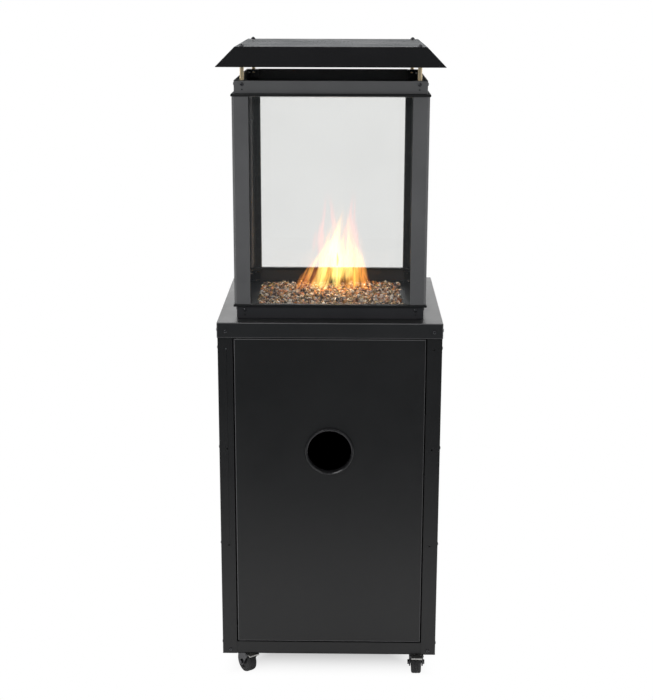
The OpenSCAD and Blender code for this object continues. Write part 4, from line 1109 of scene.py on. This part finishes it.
class HEATER_OT_casters(bpy.types.Operator):
    """Models the casters' wheels and rounds their forks, plates and pedals"""

    bl_idname = "heater.casters"
    bl_label = "Casters"

    def execute(self, context):
        joints = {joint["child"]: joint for joint in frame["joints"]}
        for corner in CORNERS:
            joint = joints[f"wheel_{corner}"]
            self.wheel(corner, Vector(joint["pos_m"]), Vector(joint["axis"]))
            node = f"caster_fork_{corner}"
            dressed(node, f"{node}_pressing", "black_steel", 0.9 * MM, 0.35 * MM, 2)
        for corner in CORNERS[:2]:
            node = f"brake_pedal_{corner}"
            dressed(node, f"{node}_pressing", "stainless", 0.8 * MM, 0.5 * MM)
        dressed("caster_plates", "caster_top_plates", "stainless", 0.8 * MM, 0.3 * MM, 2)
        dressed("caster_bolts", "caster_bolt_set", "zinc_steel", 0.3 * MM, 0.25 * MM, 2)
        return {"FINISHED"}

    def mirrored(self, name, half):
        """Spins half a profile and its mirror image, which close into one ring."""
        return turned(name, half + [(a, -b) for a, b in reversed(half)] + [half[0]], 64)

    def wheel(self, corner, centre, axis):
        """A moulded wheel with a rounded rubber tread and a recessed hub on each side."""
        node = f"caster_wheel_{corner}"
        low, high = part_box(node)
        r, half, bore = (high.z - low.z) / 2, 11 * MM, 3.05 * MM
        tread = [(r - 6 * MM, -half + 1.5 * MM), (r - 2.6 * MM, -half + 1.0 * MM),
                 (r - 1.0 * MM, -half + 2.0 * MM), (r - 0.3 * MM, -half + 4 * MM), (r, -half + 7 * MM)]
        groove = [(r, -3.6 * MM), (r - 0.8 * MM, -3.2 * MM), (r - 0.8 * MM, -2.6 * MM), (r, -2.2 * MM)]
        tyre = smooth(self.mirrored(f"caster_tread_{corner}", tread + groove))
        side = [(bore, -half), (bore + 3.2 * MM, -half), (bore + 3.6 * MM, -half + 2.4 * MM),
                (r - 9.5 * MM, -half + 3.4 * MM), (r - 8.6 * MM, -half + 0.9 * MM),
                (r - 5.9 * MM, -half + 1.0 * MM)]
        hub = soften(self.mirrored(f"caster_hub_{corner}", side), 0.25 * MM)
        matrix = facing(axis, centre)
        finished(placed(hub, matrix), "black_plastic", node)
        extra(placed(tyre, matrix), "rubber", node)


# ---------------- fire glass and flame

class HEATER_OT_fire_glass(bpy.types.Operator):
    """Fills the tray with loose pieces of fire glass"""

    bl_idname = "heater.fire_glass"
    bl_label = "Fire glass"

    def execute(self, context):
        size = sizes().chip_size
        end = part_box("burner_tray")[1].x - 2 * MM - size * 0.45  # the furthest place of a piece's centre
        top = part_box("fire_glass")[1].z
        draw = random.Random(11)
        masters = [self.chip(i, size) for i in range(7)]
        chips = {"mirror_chips": [], "amber_chips": [], "clear_chips": [], "smoke_chips": []}
        step = size * 0.8
        row = range(int(2 * end / step) + 1)
        for layer, i, j in itertools.product(range(sizes().chip_layers), row, row):
            kind = draw.choices(list(chips), weights=(5, 5, 3, 3))[0]
            x, y = (min(max(k * step - end + draw.uniform(-0.4, 0.4) * size, -end), end) for k in (i, j))
            z = top - size * (0.42 + 0.5 * layer) + draw.uniform(-0.3, 0.3) * size
            z += 1.8 * MM * math.sin(x * 31 + 1.3) * math.sin(y * 27 + 0.4)  # low waves across the bed
            turn = Matrix.Rotation(draw.uniform(0, 6.28), 4, Vector(
                [draw.gauss(0, 1) for _ in range(3)]).normalized())
            grow = draw.uniform(0.72, 1.28)
            scale = Matrix.Diagonal((grow, grow * draw.uniform(0.75, 1.1), grow * 0.85, 1))
            chip = copy_of(draw.choice(masters), Matrix.Translation((x, y, z)) @ turn @ scale)
            mark(chip, "chip", draw.random())
            chips[kind].append(chip)
        removed(*masters)
        finished(self.bed(size), "smoke_chips", "fire_glass")
        for kind, pieces in chips.items():
            extra(joined(pieces, f"fire_glass_{kind}"), kind, "fire_glass")
        return {"FINISHED"}

    def chip(self, index, size):
        """One broken and tumbled piece of glass with flat facets."""
        chip = fresh(bpy.ops.mesh.primitive_ico_sphere_add, "chip", subdivisions=1, radius=size * 0.55)
        bpy.ops.object.mode_set(mode="EDIT")
        bpy.ops.mesh.select_all(action="SELECT")
        bpy.ops.transform.vertex_random(offset=size * 0.2, uniform=0.9, seed=index + 3)
        bpy.ops.mesh.convex_hull()
        bpy.ops.mesh.bevel(offset=size * 0.035, segments=1, affect="EDGES")
        leave()
        return chip

    def bed(self, size):
        """The rest of the glass below the modelled pieces, as one uneven heap in the darkest smoke shade,
        which paints shade into the gaps between the pieces.
        """
        low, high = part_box("fire_glass")
        bed = bar("fire_glass_heap", low, high - Vector((0, 0, size * 0.75)))
        edit(bed)
        select_top(bed)
        bpy.ops.mesh.subdivide(number_cuts=40)
        select_top(bed)
        bpy.ops.mesh.select_less()
        bpy.ops.transform.vertex_random(offset=size * 0.28, uniform=0.2, seed=5)
        leave()
        # Chip 0 is the darkest smoke shade: painted shade in the gaps between the pieces.
        return mark(bed, "chip", 0.0)


# Each tongue, in shares of the flame: place across, place in depth, width, foot, height and how far its
# tip leans across; then its turn in degrees and its warmth
TONGUES = (
    (-0.47, -0.05, 0.13, 0.0, 0.44, 0.26, 6, 0.40), (-0.38, 0.06, 0.18, 0.0, 0.34, 0.22, -8, 0.20),
    (-0.25, 0.02, 0.30, 0.0, 0.80, 0.32, 4, 0.66), (-0.15, -0.06, 0.20, 0.0, 0.94, 0.30, -6, 0.98),
    (0.02, 0.08, 0.17, 0.0, 0.96, 0.14, 9, 0.96), (0.20, -0.02, 0.28, 0.0, 0.82, 0.0, -5, 0.55),
    (0.33, 0.10, 0.20, 0.0, 0.86, -0.06, 7, 0.55), (0.43, 0.0, 0.15, 0.0, 0.66, -0.09, -4, 0.48),
    (0.51, -0.06, 0.11, 0.0, 0.38, -0.14, 10, 0.36), (0.10, 0.14, 0.50, 0.08, 0.90, 0.05, 0, 0.92),
    (-0.06, 0.16, 0.34, 0.26, 1.12, 0.02, -3, 0.06), (0.25, 0.12, 0.22, 0.26, 1.14, 0.05, 5, 0.08),
    (0.05, 0.03, 0.44, 0.0, 0.84, 0.04, 88, 0.80), (0.30, 0.06, 0.34, 0.0, 0.60, 0.0, 80, 0.55),
    (-0.18, 0.06, 0.34, 0.0, 0.56, 0.12, 100, 0.55))


class HEATER_OT_flame(bpy.types.Operator):
    """Shapes the flame from thin upright sheets of burning gas"""

    bl_idname = "heater.flame"
    bl_label = "Flame"

    def execute(self, context):
        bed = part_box("fire_glass")[1].z - 4 * MM
        tall, wide = sizes().flame_height, sizes().flame_width
        sheets = []
        for number, (x, y, width, foot, height, lean, turn, warmth) in enumerate(TONGUES):
            place = Vector((x * wide, sizes().flame_depth + y * wide, bed + foot * tall))
            sheet = self.tongue(number, place, width * wide, (height - foot) * tall, lean * wide,
                                math.radians(turn))
            sheets.append(mark(sheet, "warmth", warmth))
        flame = smooth(joined(sheets, "flame_sheets"), 80)
        flame.data.materials.append(material("flame"))
        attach(flame, body_of("fire_glass"))
        return {"FINISHED"}

    def tongue(self, number, foot, width, height, lean, turn):
        """A sheet that swells, narrows to its tip, bows across and sways as it rises."""
        sheet = fresh(bpy.ops.mesh.primitive_grid_add, "tongue", x_subdivisions=12, y_subdivisions=28,
                      size=1, calc_uvs=True)
        phase = number * 2.4
        for vertex in sheet.data.vertices:
            u, v = vertex.co.x, vertex.co.y + 0.5
            swell = 0.55 + 0.45 * math.sin(math.pi * min(v * 1.5, 1)) ** 2
            across = u * width * 1.5 * (swell * (1 - v ** 2.2) ** 0.8 + 0.02)
            bow = -across * across / width * 0.9
            flat = Vector((across + 0.06 * v * width * math.sin(phase + 6 * v), bow, 0))
            flat.rotate(Matrix.Rotation(turn, 3, "Z"))
            vertex.co = foot + flat + Vector((lean * v ** 0.9, 0, v * height))
        return sheet


# ---------------- burner, gas and controls

class HEATER_OT_burner(bpy.types.Operator):
    """Finishes the tray, the burner and the gas parts below it"""

    bl_idname = "heater.burner"
    bl_label = "Burner"

    def execute(self, context):
        dressed("burner_tray", "burner_tray_sheet", "powder_coat", 1.2 * MM)
        for node, finish in (("burner", "stainless"), ("injector", "brass"), ("pilot_burner", "brass"),
                             ("gas_valve", "aluminium"), ("tilt_switch", "black_plastic"),
                             ("igniter_body", "black_plastic")):
            dressed(node, f"{node}_part", finish, 0.6 * MM, 0.3 * MM, 2)
        self.hose_tail()
        return {"FINISHED"}

    def hose_tail(self):
        """The inlet's union nut above a barbed tail for the gas hose."""
        low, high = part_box("inlet_fitting")
        middle = (low + high) / 2
        tail_top = high.z - (high.z - low.z) * 0.4
        count, bore, crest = 4, 2.6 * MM, 4.5 * MM
        root, dip = crest - 0.6 * MM, crest - 0.9 * MM
        pitch = (tail_top - low.z) / count
        barbs = []
        for z in (low.z + i * pitch for i in range(count)):
            barbs += [(dip, z), (crest, z + pitch * 0.8), (root, z + pitch * 0.85)]
        end = high.z - 0.1 * MM
        profile = [(bore, low.z), *barbs, (root, end), (bore, end), (bore, low.z)]
        tail = smooth(turned("hose_tail", profile, 40))
        placed(tail, Matrix.Translation((middle.x, middle.y, 0)))
        across = min(high.x - low.x, high.y - low.y)
        nut = hex_nut(across, high.z - tail_top, middle, tail_top)
        finished(joined([tail, nut], "gas_inlet_fitting"), "brass", "inlet_fitting")


class HEATER_OT_controls(bpy.types.Operator):
    """Models the control knob, its dial marks and the igniter's button"""

    bl_idname = "heater.controls"
    bl_label = "Controls"

    def execute(self, context):
        self.knob()
        self.button()
        self.dial()
        return {"FINISHED"}

    def outward(self, node):
        """The matrix that sets a shape on the front end of a control, facing backwards, with its size."""
        low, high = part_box(node)
        middle = (low + high) / 2
        matrix = facing((0, 1, 0), (middle.x, low.y, middle.z))
        return matrix, (high.x - low.x) / 2, high.y - low.y

    def knob(self):
        """A fluted knob with a hollow back, a hub for its spindle and a pointer line."""
        matrix, r, height = self.outward("control_knob")
        wall, bore, roof, flutes = 2.4 * MM, 4.05 * MM, 4 * MM, 18
        hub = bore + 2.2 * MM
        profile = [
            (r - wall, 0), (r, 0), (r, 2.2 * MM), (r - 1.2 * MM, 3 * MM), (r - 2.4 * MM, height - 1.6 * MM),
            (r - 3.6 * MM, height), (0, height), (0, height - roof), (bore, height - roof), (bore, 0),
            (hub, 0), (hub, height - roof), (r - wall * 2, height - roof), (r - wall, 2 * MM), (r - wall, 0)]
        knob = turned("control_knob_grip", profile, 72)
        start, end, width, reach = 3.2 * MM, height + 1 * MM, 1.5 * MM, r - 1.0 * MM
        for angle in (2 * math.pi * i / flutes for i in range(flutes)):
            flute = turned("flute", [(0, start), (width, start), (width, end), (0, end)], 12)
            place = Matrix.Translation((reach * math.cos(angle), reach * math.sin(angle), 0))
            cut(knob, placed(flute, place))
        soften(knob, 0.2 * MM, 2, 35)
        half = 0.7 * MM
        pointer = bar("control_knob_pointer", (-half, r * 0.35, height - 0.2 * MM), (half, r * 0.78, height))
        soften(pointer, 0.05 * MM, 1)
        finished(placed(knob, matrix), "black_plastic", "control_knob")
        extra(placed(pointer, matrix), "mark_paint", "control_knob")

    def button(self):
        """A round button with a dished top."""
        matrix, r, height = self.outward("igniter_button")
        profile = [(0, 0), (r, 0), (r, height - 1.2 * MM), (r - 0.5 * MM, height - 0.3 * MM),
                   (r - 1.2 * MM, height), (r - 2 * MM, height - 0.15 * MM), (0, height - 0.8 * MM)]
        button = smooth(turned("igniter_button_cap", profile, 48), 50)
        finished(placed(button, matrix), "button_plastic", "igniter_button")

    def dial(self):
        """A ring of plain marks on the control plate round the knob, from short to long."""
        matrix, r, _ = self.outward("control_knob")
        gap = 5.8 * MM  # from the plate to the knob
        half, thick = 0.4 * MM, 0.12 * MM
        marks = []
        for i in range(7):
            line = bar("mark", (-half, 0, 0), (half, (1.2 + 0.35 * i) * MM, thick))
            soften(line, 0.04 * MM, 1)
            turn = Matrix.Rotation(math.radians(-135 + i * 37.5), 4, "Z")
            place = Matrix.Translation((0, 0, -gap)) @ turn @ Matrix.Translation((0, r + 3.2 * MM, 0))
            marks.append(placed(line, matrix @ place))
        extra(joined(marks, "dial_marks"), "mark_paint", "control_plate")


class HEATER_OT_small_parts(bpy.types.Operator):
    """Gives the remaining CAD nodes their finishes"""

    bl_idname = "heater.small_parts"
    bl_label = "Small parts"

    def execute(self, context):
        finishes = {
            "door_pivot_pins": "black_steel", "glass_gaskets": "rubber", "gas_pipes": "aluminium",
            "thermocouple": "copper", "spark_electrode": "ceramic", "valve_spindle": "zinc_steel"}
        for node, finish in finishes.items():
            mesh = frame["nodes"][node].data
            mesh.materials.clear()
            mesh.materials.append(material(finish))
        return {"FINISHED"}


# ---------------- panel and registration

OPERATORS = (
    HEATER_OT_stage, HEATER_OT_cabinet, HEATER_OT_door, HEATER_OT_lantern, HEATER_OT_roof,
    HEATER_OT_screws, HEATER_OT_casters, HEATER_OT_fire_glass, HEATER_OT_flame,
    HEATER_OT_burner, HEATER_OT_controls, HEATER_OT_small_parts)


class HEATER_PT_build(bpy.types.Panel):
    """Lists the heater's building steps"""

    bl_idname = "HEATER_PT_build"
    bl_label = "Gas flame lantern heater"
    bl_space_type = "VIEW_3D"
    bl_region_type = "UI"
    bl_category = "Heater"

    def draw(self, context):
        for group_name in ("heater_sizes", "heater_colours"):
            settings = getattr(context.scene, group_name)
            column = self.layout.column(align=True)
            for name in settings.bl_rna.properties.keys():
                if name not in ("rna_type", "name"):
                    column.prop(settings, name)
        for operator in OPERATORS:
            self.layout.operator(operator.bl_idname)


CLASSES = (HeaterSizes, HeaterColours, *OPERATORS, HEATER_PT_build)


def register():
    for cls in CLASSES:
        bpy.utils.register_class(cls)
    bpy.types.Scene.heater_sizes = PointerProperty(type=HeaterSizes)
    bpy.types.Scene.heater_colours = PointerProperty(type=HeaterColours)


def unregister():
    del bpy.types.Scene.heater_colours
    del bpy.types.Scene.heater_sizes
    for cls in reversed(CLASSES):
        bpy.utils.unregister_class(cls)


def main():
    register()
    for operator in OPERATORS:
        family, name = operator.bl_idname.split(".")
        getattr(getattr(bpy.ops, family), name)()


if __name__ == "__main__":
    main()
